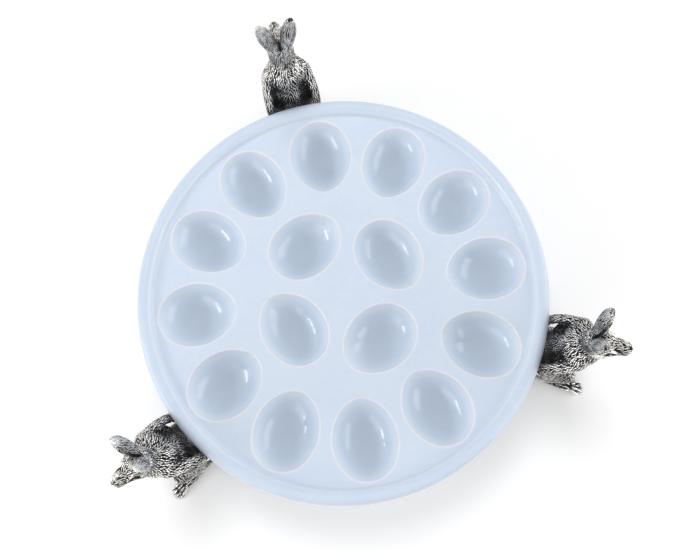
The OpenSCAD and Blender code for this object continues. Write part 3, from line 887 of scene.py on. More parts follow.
class Ball(Form):
    """An ellipsoid"""

    def __init__(self, group, blend, middle, half, fur=(0, 0, -1), coat=1.0, axes=None):
        self.middle, self.half = np.asarray(middle, float), np.asarray(half, float)
        self.axes = np.eye(3) if axes is None else axes
        reach = np.abs(self.axes) @ self.half
        super().__init__(group, blend, self.middle - reach, self.middle + reach, fur, coat)

    def distance(self, points):
        q = (points - self.middle) @ self.axes / self.half
        whole = size_of(q)
        return whole * (whole - 1) / np.maximum(size_of(q / self.half), 1e-6)


class Limb(Form):
    """A round limb along a smooth route"""

    def __init__(self, group, blend, route, radii, coat=1.0, smooth=4, fur=None):
        table = np.column_stack([np.asarray(route, float), radii])
        table = refine(table, smooth) if smooth else table
        self.points, self.radii = table[:, :3], table[:, 3]
        grown = self.radii[:, None]
        low, high = (self.points - grown).min(0), (self.points + grown).max(0)
        super().__init__(group, blend, low, high, fur or self.along, coat)

    def nearest(self, points):
        best = np.full(len(points), FAR * 9)
        way = np.zeros((len(points), 3))
        for a, b, ra, rb in zip(self.points, self.points[1:], self.radii, self.radii[1:]):
            ab = b - a
            t = np.clip((points - a) @ ab / (ab @ ab), 0, 1)
            gap = size_of(points - a - t[:, None] * ab) - (ra + (rb - ra) * t)
            closer = gap < best
            best[closer] = gap[closer]
            way[closer] = ab / np.sqrt(ab @ ab)
        return best, way

    def distance(self, points):
        return self.nearest(points)[0]

    def along(self, points):
        return self.nearest(points)[1]


class Strung(Form):
    """A form whose sections are strung along a straight axis, z of its own frame"""

    def __init__(self, group, blend, rows, origin, axes, fur, coat):
        self.rows = refine(rows)
        self.origin, self.axes = np.asarray(origin, float), np.asarray(axes, float)
        place, *sizes = self.rows.T
        corners = np.vstack([
            np.column_stack([x, y, place]) @ self.axes.T + self.origin
            for x, y in self.corners(*sizes)
        ])
        super().__init__(group, blend, corners.min(0), corners.max(0), fur, coat)

    def local(self, points):
        """Where points lie in the own frame, past the ends too, and the section's sizes there"""
        x, y, along = ((points - self.origin) @ self.axes).T
        place = self.rows[:, 0]
        inside = np.clip(along, place[0], place[-1])
        sizes = (np.interp(inside, place, self.rows[:, k]) for k in (1, 2, 3))
        return x, y, along - inside, *sizes


class Loft(Strung):
    """Ellipses: rows of place, middle and half size along x, half size along y"""

    def __init__(self, group, blend, rows, origin, axes, fur, coat=1.0):
        super().__init__(group, blend, rows, origin, axes, fur, coat)

    @staticmethod
    def corners(middle, half, wide):
        return [(middle + u * half, v * wide) for u in (1, -1) for v in (1, -1)]

    def distance(self, points):
        x, y, past, middle, half, wide = self.local(points)
        u, v = (x - middle) / half, y / wide
        whole = np.hypot(u, v)
        gap = whole * (whole - 1) / np.maximum(np.hypot(u / half, v / wide), 1e-6)
        return np.where(past != 0, np.hypot(np.maximum(gap, 0), past), gap)


# The raised rim of an ear: how much thicker it is, its place across the ear and its width
EAR_RIM, EAR_RIM_PLACE, EAR_RIM_WIDTH = 0.5, 0.86, 0.16


class Leaf(Strung):
    """A cupped ear with a raised rim: rows of place, half width, cup and thickness"""

    def __init__(self, group, blend, rows, origin, axes, coat=0.9):
        super().__init__(group, blend, rows, origin, axes, axes[:, 2], coat)

    @staticmethod
    def corners(wide, cup, thick):
        return [(x, y) for x in (thick, -cup - thick) for y in (wide, -wide)]

    def distance(self, points):
        x, y, past, wide, cup, thick = self.local(points)
        side = np.abs(y)
        part = np.clip(side / wide, 0, 1)
        rim = EAR_RIM * np.exp(-(((part - EAR_RIM_PLACE) / EAR_RIM_WIDTH) ** 2))
        half = thick * (1 + rim) / 2
        bend = x + cup * (1 - part**2)
        edge = np.maximum(side - (wide - half), 0)
        return np.sqrt(bend**2 + edge**2 + past**2) - half


def turned(axis, degrees):
    """A rotation as a 3 by 3 array whose columns are the turned axes"""
    return np.array(Matrix.Rotation(math.radians(degrees), 3, axis))


def ramp(values, start, end):
    """0 up to start, 1 from end on, and even between them; start may lie above end"""
    return np.clip((values - start) / (end - start), 0, 1)


def down_the_back(points):
    """Way of the fur on the trunk: down, and out from the spine and the middle of the chest"""
    side = ramp(np.abs(points[:, 1]), 0, 3.5)
    fore = np.clip((points[:, 0] - 3.0) / 6.0, -1, 1)
    return np.column_stack([0.8 * fore, 0.62 * side, -np.ones(len(points))])


# Frames of forms that stand, with their sections from bottom to top, and of forms that lie, with
# their sections from back to front
STANDING = np.eye(3)
LYING = np.column_stack([(0, 0, 1), (0, -1, 0), (1, 0, 0)])


def muscle(name, fur):
    blend, middle, half = MUSCLES[name]
    return Ball("body", blend, middle, half, fur)


def trunk_forms(mm):
    high, deep, wide = mm.neck_h, mm.trunk_d, mm.trunk_w
    rows = [(h * high, m * deep, d * deep, w * wide) for h, m, d, w in TRUNK_SHARES]
    return [
        Loft("body", 0, rows, (0, 0, 0), STANDING, down_the_back),
        muscle("chest", down_the_back),
        muscle("shoulder", down_the_back),
        Limb("body", 5, *SPINE, fur=down_the_back),
    ]


def haunch_forms(mm):
    high, long = mm.haunch_h, mm.haunch_l
    width = mm.haunch_span * HAUNCH_WIDTH_SHARE
    middle = (0, (mm.haunch_span - width) / 2, 0)
    rows = [(h * high, m * long, d * long, w * width) for h, m, d, w in HAUNCH_SHARES]
    return [
        Loft("body", 3.5, rows, middle, STANDING, (-0.55, 0.1, -0.8)),
        muscle("knee", (-0.2, 0.1, -1)),
        muscle("rump", (-0.3, 0.2, -1)),
        muscle("flank", down_the_back),
    ]


def foot_forms(mm):
    """A hind foot with its toes and claws"""
    long, wide, high = mm.foot_l, mm.foot_w, mm.foot_h
    turn = turned("Z", FOOT_TURN)
    heel = np.array([-0.14 * long, mm.foot_spread / 2, 0.0])
    rows = [(p * long, t * high * 0.46, t * high / 2, w * wide) for p, w, t in FOOT_SHARES]
    forms = [Loft("body", 2.0, rows, heel, turn @ LYING, turn[:, 0], 0.8)]
    for at, tip in zip(TOE_SHARES, TOE_TIP_SHARES):
        toe = [
            (long * 0.50, at * wide * 0.75, high * 0.52),
            (long * 0.76, at * wide, high * 0.40),
            (long * (tip - 0.13), at * wide * 1.08, high * 0.27),
            (long * (tip - 0.065), at * wide * 1.1, high * 0.19),
        ]
        claw = [toe[-1], (long * (tip - 0.01), at * wide * 1.12, 0.8)]
        forms.append(Limb("body", 0.5, np.array(toe) @ turn.T + heel, TOE_RADII, 0.25))
        forms.append(Limb("body", 0.3, np.array(claw) @ turn.T + heel, CLAW_RADII, 0.0, 0))
    return forms


def head_at(mm, shares):
    """A place given as shares of the head's length, width and height, from the nape"""
    nape = mm.trunk_d * 0.17 - mm.head_l * 0.31
    middle = mm.neck_h + mm.head_h * 0.68
    return np.array([nape, 0, middle]) + np.array([mm.head_l, mm.head_w, mm.head_h]) * shares


def head_forms(mm):
    long, wide, high = mm.head_l, mm.head_w, mm.head_h
    rows = [(p * long, m * high, h * high, w * wide) for p, m, h, w in HEAD_SHARES]
    forms = [
        Loft("head", 0, rows, head_at(mm, (0, 0, 0)), LYING, BACK_OVER, 0.9),
        Limb("head", 5, *NECK, fur=down_the_back),
    ]
    for blend, middle, half, fur, coat in HEAD_FORMS.values():
        forms.append(Ball("head", blend, head_at(mm, middle), half, fur, coat))
    for blend, route, radii in LIDS:
        forms.append(Limb("head", blend, [head_at(mm, point) for point in route], radii, 0.0))
    return forms


def face_creases(mm):
    """The eye's socket, the mouth and a nostril, each with how softly it is cut"""
    mouth, mouth_radii = MOUTH
    return (
        (Ball("crease", 0, head_at(mm, SOCKET[0]), SOCKET[1]), 0.6),
        (Limb("crease", 0, [head_at(mm, point) for point in mouth], mouth_radii), 0.5),
        (Ball("crease", 0, head_at(mm, NOSTRIL[0]), NOSTRIL[1]), 0.4),
    )


def ear_forms(mm, rake, splay, turn):
    long, wide = mm.ear_l, mm.ear_w
    root = wide * EAR_ROOT_SHARE
    seat = head_at(mm, EAR_SEAT_SHARES)
    axes = turned("Y", -math.degrees(rake)) @ turned("X", -math.degrees(splay))
    axes = axes @ turned("Z", math.degrees(turn))
    rows = [(p * long, w * wide, c * wide, t * root) for p, w, c, t in EAR_SHARES]
    place, half = EAR_ROOT
    return [
        Leaf("ear", 1.6, rows, seat, axes),
        Ball("ear", 1.6, seat + axes @ place, half, axes[:, 2], 0.5),
    ]


def arm_forms(mm, ring):
    """An arm from the shoulder down past the rim to the ring, and the fingers under the ring"""
    ring_r, ring_low, ring_high = ring
    thick, hand_y, finger_l = mm.arm_t, mm.hand_spread / 2, mm.finger_l
    arm_r = thick / 2
    tray_r, rim_h = TRAY_D / 2 / MM, RIM_H / MM
    hare_x = tray_r + mm.stand_off
    top = mm.shoulder_h
    sx, sy = mm.trunk_d * 0.06, mm.trunk_w * 0.35
    rim_x = math.sqrt(tray_r**2 - hand_y**2) + 0.8 + arm_r - hare_x
    palm_z = (ring_low + ring_high) / 2
    route = [
        (sx, sy - 1.5, top + 0.5), (sx - arm_r / 2, sy + arm_r, top - arm_r / 2),
        (sx - thick * 0.75, hand_y - arm_r * 0.8, top - thick * 1.15),
        (rim_x + thick * 0.85, hand_y - arm_r * 0.15, rim_h + thick * 0.75),
        (rim_x + thick * 0.1, hand_y + arm_r * 0.05, rim_h - thick * 0.5),
        (rim_x - thick * 0.15, hand_y, rim_h - thick * 1.6),
        (rim_x - thick * 0.5, hand_y, palm_z - 1.0),
    ]
    forms = [Limb("arm", 2.6, route, np.array(ARM_RADII_SHARES) * thick)]
    seat_x = ring_r - hare_x
    for i in range(FINGERS):
        y = hand_y + (i - (FINGERS - 1) / 2) * finger_l * 0.29
        r = finger_l * 0.19
        low = ring_low - r * 1.25
        finger = [
            (rim_x - thick * 0.35, y, palm_z + 1.0), (seat_x + 1.2, y, low + 1.4),
            (seat_x - 1.0, y, low), (seat_x - finger_l + 1.5, y, low),
        ]
        forms.append(Limb("arm", 0.5, finger, [r * 1.2, r * 1.15, r, r * 0.75], 0.0))
    return forms


def tail_forms(mm):
    seat = (-mm.trunk_d * 0.74 - 4.2, 0, mm.haunch_h * 0.28 + 2.4)
    return [Ball("tail", 2.0, seat, TAIL_HALF, (-0.8, 0, 0.6), 1.0, turned("Y", TAIL_TURN))]


def hare_forms(s, ring):
    """Every swelling of a hare in the order they are joined, the creases cut in, and the eye"""
    mm = SimpleNamespace(**{name: getattr(s, name) / MM for name in HareSettings.__annotations__})
    forms = [
        *trunk_forms(mm), *haunch_forms(mm), *foot_forms(mm), *head_forms(mm),
        *ear_forms(mm, s.ear_rake, s.ear_splay, s.ear_turn), *arm_forms(mm, ring),
        *tail_forms(mm),
    ]
    eye = Ball("head", 0.15, head_at(mm, EYE[0]), EYE[1], (-1, 0, 0), 0.0)
    return forms, face_creases(mm), eye


def smooth_union(a, b, blend):
    if not blend:
        return np.minimum(a, b)
    near = np.maximum(blend - np.abs(a - b), 0) / blend
    return np.minimum(a, b) - near * near * blend * 0.25


class Sculpture:
    """Distances to the hare's surface on a grid, as a whole and for each of its parts"""

    def __init__(self, forms, creases, eye, notch):
        shape = np.ceil((GRID_HIGH - GRID_LOW) / GRID_STEP).astype(int) + 1
        self.forms, self.shape, self.eye = forms, shape, eye
        self.whole = np.full(shape, FAR, np.float32)
        self.parts = {form.group: np.full(shape, FAR, np.float32) for form in forms}
        for form in forms:
            self.add(form)
        for form, blend in creases:
            region, gap = self.grid_distance(form)
            kept = self.whole[region]
            self.whole[region] = -smooth_union(-kept, gap, blend)
        region, gap = self.grid_distance(eye)
        self.whole[region] = smooth_union(self.whole[region], gap, eye.blend)
        self.notch(*notch)
        low = np.arange(shape[2]) * GRID_STEP + GRID_LOW[2]
        self.whole = np.maximum(self.whole, -low.astype(np.float32))

    def notch(self, hare_x, radius, low, high):
        """Cuts the seat of the support ring out of the hands"""
        points = self.grid_points([slice(0, n) for n in self.shape]).reshape(-1, 3)
        reach = np.hypot(points[:, 0] + hare_x, points[:, 1]) - radius
        level = np.abs(points[:, 2] - (low + high) / 2) - (high - low) / 2
        cut = np.maximum(reach, level).reshape(self.shape).astype(np.float32)
        self.whole = np.maximum(self.whole, -cut)

    def grid_points(self, region):
        axes = [
            np.arange(r.start, r.stop) * GRID_STEP + low for r, low in zip(region, GRID_LOW)
        ]
        return np.stack(np.meshgrid(*axes, indexing="ij"), -1)

    def grid_distance(self, form):
        """The part of the grid near a form, and the distances there"""
        low = np.floor((form.low - REACH - GRID_LOW) / GRID_STEP).astype(int)
        high = np.ceil((form.high + REACH - GRID_LOW) / GRID_STEP).astype(int) + 1
        region = tuple(slice(max(a, 0), min(b, n)) for a, b, n in zip(low, high, self.shape))
        points = self.grid_points(region)
        gap = form.distance(points.reshape(-1, 3)).reshape(points.shape[:3])
        slope = np.sqrt(sum(g * g for g in np.gradient(gap, GRID_STEP)))
        gap = gap / np.clip(slope, STRETCH_LOW, STRETCH_HIGH)
        return region, np.minimum(gap, FAR).astype(np.float32)

    def add(self, form):
        region, gap = self.grid_distance(form)
        self.whole[region] = smooth_union(self.whole[region], gap, form.blend)
        part = self.parts[form.group]
        part[region] = np.minimum(part[region], gap)

    def cut(self, name):
        """How far a point lies outside the part's own share of the hare"""
        parts = self.parts
        level = (np.arange(self.shape[2]) * GRID_STEP + GRID_LOW[2]).astype(np.float32)
        above = np.broadcast_to(level - NECK_CUT, self.shape)
        own = parts[name]
        if name == "head":
            past = np.maximum(-above, own - parts["ear"])
        elif name == "ear":
            past = own - parts["head"]
        elif name == "body":
            past = np.maximum(above, own - np.minimum(parts["arm"], parts["tail"]))
        else:
            past = own - parts["body"]
        return np.where(own > REACH, FAR, past)

    def part(self, name):
        """The part's own field, which dives below the surface past its seam"""
        past = self.cut(name)
        field = self.whole + 0.5 * np.maximum(past, 0)
        return np.maximum(field, 0.7 * past - OVERLAP), past


# Where the head is cast onto the body, and how far a part reaches into its neighbour
NECK_CUT = 104.0
OVERLAP = 1.6


def mirrored(field):
    return np.concatenate([field[:, :0:-1], field], axis=1)


def sample(field, points):
    """The grid's value at points, between its samples"""
    at = (np.abs(points * (0, 1, 0)) + points * (1, 0, 1) - GRID_LOW) / GRID_STEP
    at = np.clip(at, 0, np.array(field.shape) - 1.001)
    cell = at.astype(int)
    part = at - cell
    total = np.zeros(len(points))
    for i in (0, 1):
        for j in (0, 1):
            for k in (0, 1):
                weight = np.ones(len(points))
                for axis, side in enumerate((i, j, k)):
                    weight *= part[:, axis] if side else 1 - part[:, axis]
                total += weight * field[cell[:, 0] + i, cell[:, 1] + j, cell[:, 2] + k]
    return total


def slope_at(field, points):
    """Unit direction in which the field grows fastest"""
    h = GRID_STEP * 0.75
    way = np.column_stack([
        sample(field, points + step) - sample(field, points - step) for step in np.eye(3) * h
    ])
    return way / np.maximum(size_of(way), 1e-6)[:, None]


def net(field, low):
    """Surface of a field as points and four-sided faces, one point in each cell it crosses"""
    inside = field < 0
    cells = tuple(n - 1 for n in field.shape)
    total = np.zeros((*cells, 3))
    count = np.zeros(cells)

    def corner(values, i, j, k):
        return values[i:i + cells[0], j:j + cells[1], k:k + cells[2]]

    corners = [(i, j, k) for i in (0, 1) for j in (0, 1) for k in (0, 1)]
    for start in corners:
        for axis in range(3):
            if start[axis]:
                continue
            stop = tuple(c + (n == axis) for n, c in enumerate(start))
            a, b = corner(field, *start), corner(field, *stop)
            crossed = corner(inside, *start) != corner(inside, *stop)
            part = np.where(crossed, a / np.where(a == b, 1, a - b), 0)
            for n in range(3):
                total[..., n] += np.where(crossed, start[n] + (part if n == axis else 0), 0)
            count += crossed
    used = count > 0
    index = np.full(cells, -1)
    index[used] = np.arange(used.sum())
    points = np.argwhere(used) + total[used] / count[used][:, None]
    faces = []
    for axis in range(3):
        b, c = [n for n in range(3) if n != axis]
        crop = [slice(1, -1)] * 3
        first, last = list(crop), list(crop)
        first[axis], last[axis] = slice(0, -1), slice(1, None)
        start, stop = inside[tuple(first)], inside[tuple(last)]
        for outward, crossed in ((True, start & ~stop), (False, ~start & stop)):
            at = np.argwhere(crossed)
            at[:, b] += 1
            at[:, c] += 1
            ring = []
            for db, dc in ((1, 1), (0, 1), (0, 0), (1, 0)):
                spot = at.copy()
                spot[:, b] -= db
                spot[:, c] -= dc
                ring.append(index[tuple(spot.T)])
            flip = outward == (axis == 1)
            faces.append(np.column_stack(ring[::-1] if flip else ring))
    return points * GRID_STEP + low, np.vstack(faces)


def relax(points, faces, passes):
    """Moves each point towards the middle of its neighbours"""
    starts = faces.ravel()
    ends = np.roll(faces, -1, axis=1).ravel()
    a, b = np.concatenate([starts, ends]), np.concatenate([ends, starts])
    count = np.bincount(a, minlength=len(points))[:, None]
    for _ in range(passes):
        middle = np.column_stack([
            np.bincount(a, points[b, n], minlength=len(points)) for n in range(3)
        ]) / count
        points = points + (middle - points) * 0.5
    return points


def quad_mesh(name, points, faces, values, vectors):
    """A mesh with its attributes, from arrays"""
    mesh = bpy.data.meshes.new(name)
    mesh.vertices.add(len(points))
    mesh.vertices.foreach_set("co", np.asarray(points, np.float32).ravel())
    mesh.loops.add(faces.size)
    mesh.loops.foreach_set("vertex_index", faces.ravel().astype(np.int32))
    mesh.polygons.add(len(faces))
    mesh.polygons.foreach_set("loop_start", np.arange(0, faces.size, 4, dtype=np.int32))
    mesh.update(calc_edges=True)
    for kind, field, group in (("FLOAT", "value", values), ("FLOAT_VECTOR", "vector", vectors)):
        for label, data in group.items():
            store = mesh.attributes.new(label, kind, "POINT")
            store.data.foreach_set(field, np.asarray(data, np.float32).ravel())
    return mesh


# How the strokes of fur are scaled on each part
FUR_SCALES = {"body": 0.88, "head": 0.66, "ear": 0.55, "arm": 0.8, "tail": 0.9}
# Parts that are made once and mirrored
PAIRED = ("ear", "arm")
# How often a part's surface is evened out, how often it's drawn back to the form, and how far
EVENINGS, RETURNS, RETURN_SHARE = 2, 2, 0.8
# How far out and in the form is probed for recesses and ridges, and the weight of each probe; the
# wider probes also darken the room between parts, which is painted shade
PROBES = ((1.2, 0.4), (2.6, 0.45), (5.5, 0.4), (8.0, 0.35))
RIDGE_PROBE_MAX = 3
HIDDEN_LOW, HIDDEN_HIGH, RIDGE_HIGH = -0.1, 1.2, 0.6
# An ear's recesses are this share as dark and this much lighter, and only its edge is rubbed
EAR_HIDDEN, EAR_LIGHTER = 0.6, 0.08
EAR_EDGE, EAR_EDGE_GAIN = 0.45, 2.2
# Where the muzzle starts, how much less fur it has and how much darker it is
MUZZLE_X, MUZZLE_FADE = 13.0, 5.0
MUZZLE_BARE, MUZZLE_DARK = 0.35, 0.1
# How far from the eye the fur starts, and the dark line round it: strength, distance and width
EYE_BARE = 1.6
EYE_LINE, EYE_LINE_PLACE, EYE_LINE_WIDTH = 0.8, 0.7, 0.4
# No fur grows further than this past a seam, where the part dives into its neighbour
SEAM_BARE = 0.4
# How soon a form's share in the way of the fur fades, and where it is cut off
FUR_BLEND, FUR_REACH = 0.9, 12
# Clearance of the fur from the table and from the tips of the ears, and how soon it fades
FUR_LOW, FUR_BELOW_TOP, FUR_FADE = 2.0, 1.6, 2.0


def part_surface(sculpture, name):
    """Points and faces of one part, and how far the grid's points lie outside its share"""
    field, past = sculpture.part(name)
    if name in PAIRED:
        field[:, 0] = np.maximum(field[:, 0], GRID_STEP)
        points, faces = net(field, GRID_LOW)
    else:
        low = GRID_LOW - (0, (field.shape[1] - 1) * GRID_STEP, 0)
        points, faces = net(mirrored(field), low)
    points = relax(points, faces, EVENINGS)
    for _ in range(RETURNS):
        back = sample(field, points) * RETURN_SHARE
        points = points - slope_at(field, points) * back[:, None]
    return points, faces, past


def recess_ridge_and_painted_light(sculpture, name, points, normal):
    """How hidden each point is, as patina in its recesses and painted shade on the lower back, and
    how far it stands on ridges that wear polishes, with painted light on its upward faces
    """
    hidden = np.zeros(len(points))
    ridge = np.zeros(len(points))
    for gap, weight in PROBES:
        open_air = sample(sculpture.whole, points + normal * gap)
        hidden += weight * np.clip(1 - open_air / gap, 0, 1)
        inner = sample(sculpture.whole, points - normal * gap)
        ridge += weight * np.clip(1 + inner / gap, 0, 1) * (gap < RIDGE_PROBE_MAX)
    height = points[:, 2]
    # Painted shade of the tray's rim and the arms on the lower back, with its patina
    if name == "body":
        hidden += painted_back_shade(points, normal)
    if name == "ear":
        hidden = hidden * EAR_HIDDEN - EAR_LIGHTER
        ridge = np.maximum(ridge - EAR_EDGE, 0) * EAR_EDGE_GAIN
    else:
        # Painted light from above: upward faces are made lighter, more so high on the body and on
        # the head, partly as wear and partly as painted light from above; ridges show less near
        # the table
        rubbed = 0.25 if name == "head" else 0.5 * ramp(height, 50, 80)
        ridge = ridge * (0.55 + 0.45 * ramp(height, 6, 16))
        ridge += rubbed * np.clip(normal[:, 2] + 0.2, 0, 1)
    return hidden, np.minimum(ridge, RIDGE_HIGH)


def fur_and_coat(sculpture, points, normal):
    """Way that the fur runs at each point, and how much of it there is"""
    way = np.zeros((len(points), 3))
    coat = np.zeros(len(points))
    total = np.zeros(len(points))
    folded = points * (1, 0, 1) + np.abs(points * (0, 1, 0))
    for form in sculpture.forms:
        weight = np.exp(-np.clip(form.distance(folded), 0, FUR_REACH) / FUR_BLEND)
        way += form.fur_at(folded) * weight[:, None]
        coat += form.coat * weight
        total += weight
    way[:, 1] *= np.sign(points[:, 1])
    way -= normal * np.einsum("ij,ij->i", way, normal)[:, None]
    way /= np.maximum(size_of(way), 1e-6)[:, None]
    from_eye = sculpture.eye.distance(folded)
    coat = coat / np.maximum(total, 1e-6) * np.clip(from_eye - EYE_BARE, 0, 1)
    return way, coat, from_eye


def part_mesh(sculpture, name):
    """One part of the hare in metres, with the attributes that its fur and finish read"""
    points, faces, past = part_surface(sculpture, name)
    normal = slope_at(sculpture.whole, points)
    hidden, ridge = recess_ridge_and_painted_light(sculpture, name, points, normal)
    way, coat, from_eye = fur_and_coat(sculpture, points, normal)
    coat *= sample(past, points) < SEAM_BARE
    hidden += EYE_LINE * np.exp(-(((from_eye - EYE_LINE_PLACE) / EYE_LINE_WIDTH) ** 2))
    if name == "head":
        muzzle = ramp(points[:, 0], MUZZLE_X, MUZZLE_X + MUZZLE_FADE)
        coat *= 1 - MUZZLE_BARE * muzzle
        hidden += MUZZLE_DARK * muzzle
    height, top = points[:, 2], cad_high.z / MM - FUR_BELOW_TOP
    growth = coat * ramp(height, FUR_LOW, FUR_LOW + FUR_FADE) * ramp(height, top, top - FUR_FADE)
    hidden = np.clip(hidden, HIDDEN_LOW, HIDDEN_HIGH)
    return quad_mesh(
        f"hare_{name}", points * MM, faces,
        {"cavity": hidden, "ridge": ridge, "coat": coat, "growth": growth}, {"fur": way},
    )


def painted_back_shade(points, normal):
    """Darker patina painted on the lower back: partly patina where the arms and the tray keep it
    from being rubbed, partly painted shade of the tray's rim and the arms
    """
    side, height = np.abs(points[:, 1]), points[:, 2]
    facing = np.clip(-normal[:, 0] * 1.6 + 0.2, 0, 1)
    low = ramp(height, 82, 68)
    beside = ramp(height, 94, 84) * ramp(side, 4.5, 8.5)
    return facing * np.maximum(0.45 * low, 0.8 * beside) * ramp(height, 46, 56)


# Rows along a stroke of fur and sides round it
STROKE_ROWS = 5
STROKE_SIDES = 4
# Strokes tried per square of the gap between them, and how far they stray
STROKES_TRIED = 3.0
STRAY = 0.16
# Power that moves a stroke's thickest place before its middle, and the polish of its crest
STROKE_SKEW, STROKE_POLISH = 0.75, 1.6
# Size of the smallest and the largest stroke
SMALLEST, LARGEST = 0.75, 1.2
FUR_SEED = 11


def fur_stroke(t):
    """One raised stroke, pointed and a little sunk at both ends, thickest before its middle"""
    mesh, row, column = grid(t, STROKE_ROWS, STROKE_SIDES + 1)
    along = row / (STROKE_ROWS - 1)
    swell = t.math("SINE", t.math("POWER", along, STROKE_SKEW) * math.pi)
    turn = column * (TURN / STROKE_SIDES)
    x = (along - 0.5) * t.size("Length")
    y = swell * t.size("Width") * t.math("SINE", turn)
    crest = swell * t.size("Height") * t.math("COSINE", turn)
    sink = (along - 0.5) * (along - 0.5) * t.size("Height")
    stroke = t.place(mesh, t.vector(x, y, crest - sink))
    rubbed = t.clamp(swell * STROKE_POLISH * t.clamp(t.math("COSINE", turn)))
    stroke = t.store(stroke, "polish", rubbed)
    return t.get("GeometryNodeMergeByDistance", stroke, None, WELD)


def along_fur(t, normal):
    """The turn that lays a stroke on the skin along the fur attribute, a little astray"""
    upright = t.get("FunctionNodeAlignRotationToVector", None, None, normal, axis="Z")
    way = t.get("GeometryNodeInputNamedAttribute", "fur", data_type="FLOAT_VECTOR")
    stray = t.node("FunctionNodeRandomValue", data_type="FLOAT_VECTOR")
    for index, value in ((0, (-STRAY,) * 3), (1, (STRAY,) * 3)):
        stray.inputs[index].default_value = value
    bent = t.get("ShaderNodeVectorMath", way, t.out(stray), operation="ADD")
    return t.get(
        "FunctionNodeAlignRotationToVector", upright, None, bent, axis="X", pivot_axis="Z"
    )


def fur_tree(s, scale, material):
    """Raised strokes of fur over a part, laid along its fur attribute"""
    t = ShapeTree("fur", {
        "Length": s.stroke_l * scale,
        "Width": s.stroke_w * scale,
        "Height": s.stroke_h * (0.4 + 0.6 * scale),
        "Gap": s.stroke_gap * scale,
        "Seed": FUR_SEED,
    }, geometry=True)
    skin = Term(t, t.entry.outputs["Geometry"])
    growth = t.get("GeometryNodeInputNamedAttribute", "growth")
    spread = t.node("GeometryNodeDistributePointsOnFaces", distribute_method="POISSON")
    gap = t.size("Gap")
    for label, value in (
        ("Mesh", skin), ("Distance Min", gap), ("Density Max", STROKES_TRIED / (gap * gap)),
        ("Density Factor", t.step(growth, 0.1, 0.6)), ("Seed", t.size("Seed")),
    ):
        t.feed(spread.inputs[label], value)
    facing = along_fur(t, t.out(spread, "Normal"))
    grow = t.get("FunctionNodeRandomValue", SMALLEST, LARGEST, data_type="FLOAT")
    strokes = t.get(
        "GeometryNodeInstanceOnPoints", t.out(spread, "Points"), None, fur_stroke(t), None, None,
        facing, grow,
    )
    t.finish(t.join(skin, t.get("GeometryNodeRealizeInstances", strokes)), material)
    return t


def mirror_mesh(mesh, name):
    """A copy for the other side, its faces still outward"""
    copy = mesh.copy()
    copy.name = name
    copy.transform(Matrix.Diagonal((1, -1, 1, 1)))
    copy.flip_normals()
    return copy


# Where the hares stand round the tray, in degrees, and how high the ring's seat is cut out
HARES = (("back", 90.0), ("right", -29.0), ("left", 209.0))
NOTCH_H = 60.0


class EGGPLATTER_OT_hares(Operator):
    """Sculpts a hare with its fur and stands three of them round the tray"""

    bl_idname = "eggplatter.hares"
    bl_label = "Make Hares"

    def execute(self, context):
        s = context.scene.egg_hare
        hare_x = (TRAY_D / 2 + s.stand_off) / MM
        ring_low, ring_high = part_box("support_ring")
        ring_r = (ring_high.x - ring_low.x) / 2 / MM - 0.3
        forms, creases, eye = hare_forms(s, (ring_r, ring_low.z / MM, ring_high.z / MM))
        notch = (hare_x, ring_r + 0.05, ring_low.z / MM - 0.1, TRAY_LOW.z / MM + NOTCH_H)
        sculpture = Sculpture(forms, creases, eye, notch)
        metal = pewter(context.scene.egg_pewter, "hare_pewter", fur_and_recess)
        made = {}
        for part, scale in FUR_SCALES.items():
            base = part_mesh(sculpture, part)
            mesh = fur_tree(s, scale, metal).run(f"hare_{part}", base)
            if part in PAIRED:
                made[f"left_{part}"] = mesh
                made[f"right_{part}"] = mirror_mesh(mesh, f"right_{part}")
            else:
                made[part] = mesh
        for hare, degrees in HARES:
            place = (
                Matrix.Translation((TRAY_MIDDLE.x, TRAY_MIDDLE.y, 0))
                @ Matrix.Rotation(math.radians(degrees), 4, "Z")
                @ Matrix.Translation((hare_x * MM, 0, 0))
            )
            for part, mesh in made.items():
                copy = mesh.copy()
                copy.transform(place)
                show(f"{hare}_cast_{part}", copy, "stand", "pewter", f"{hare}_hare_{part}")
        return {"FINISHED"}


# Scales of the pewter's patterns: worn patches, mottle and grain
PEWTER_CLOUD, PEWTER_MOTTLE, PEWTER_GRAIN = 95.0, 520.0, 2600.0
# How far mottle and patches sway the wear, and the values where bare metal starts and is full
MOTTLE_SWAY, CLOUD_SWAY = 0.7, 1.1
WEAR_START, WEAR_FULL = 0.2, 0.66
PIT_DEPTH, GRAIN_DEPTH = 0.12 * MM, 0.03 * MM
# Roughness and metal look of the patina and of rubbed pewter
PATINA_ROUGH, RUBBED_ROUGH = 0.5, 0.2
PATINA_METAL, RUBBED_METAL = 0.7, 1.0
# How far cast fur stands out: bare skin, the fall under a coat and the rise on a stroke
SKIN, COAT_FALL, STROKE_RISE = 0.34, 0.30, 0.72
# Weight of the ridges and painted top light on bare skin, less under a coat and more on a stroke,
# and how much of the patina and painted shade a stroke rises out of
RIDGE_SKIN, RIDGE_COAT, RIDGE_STROKE = 0.9, 0.5, 0.55
STROKE_CLEARS = 0.35


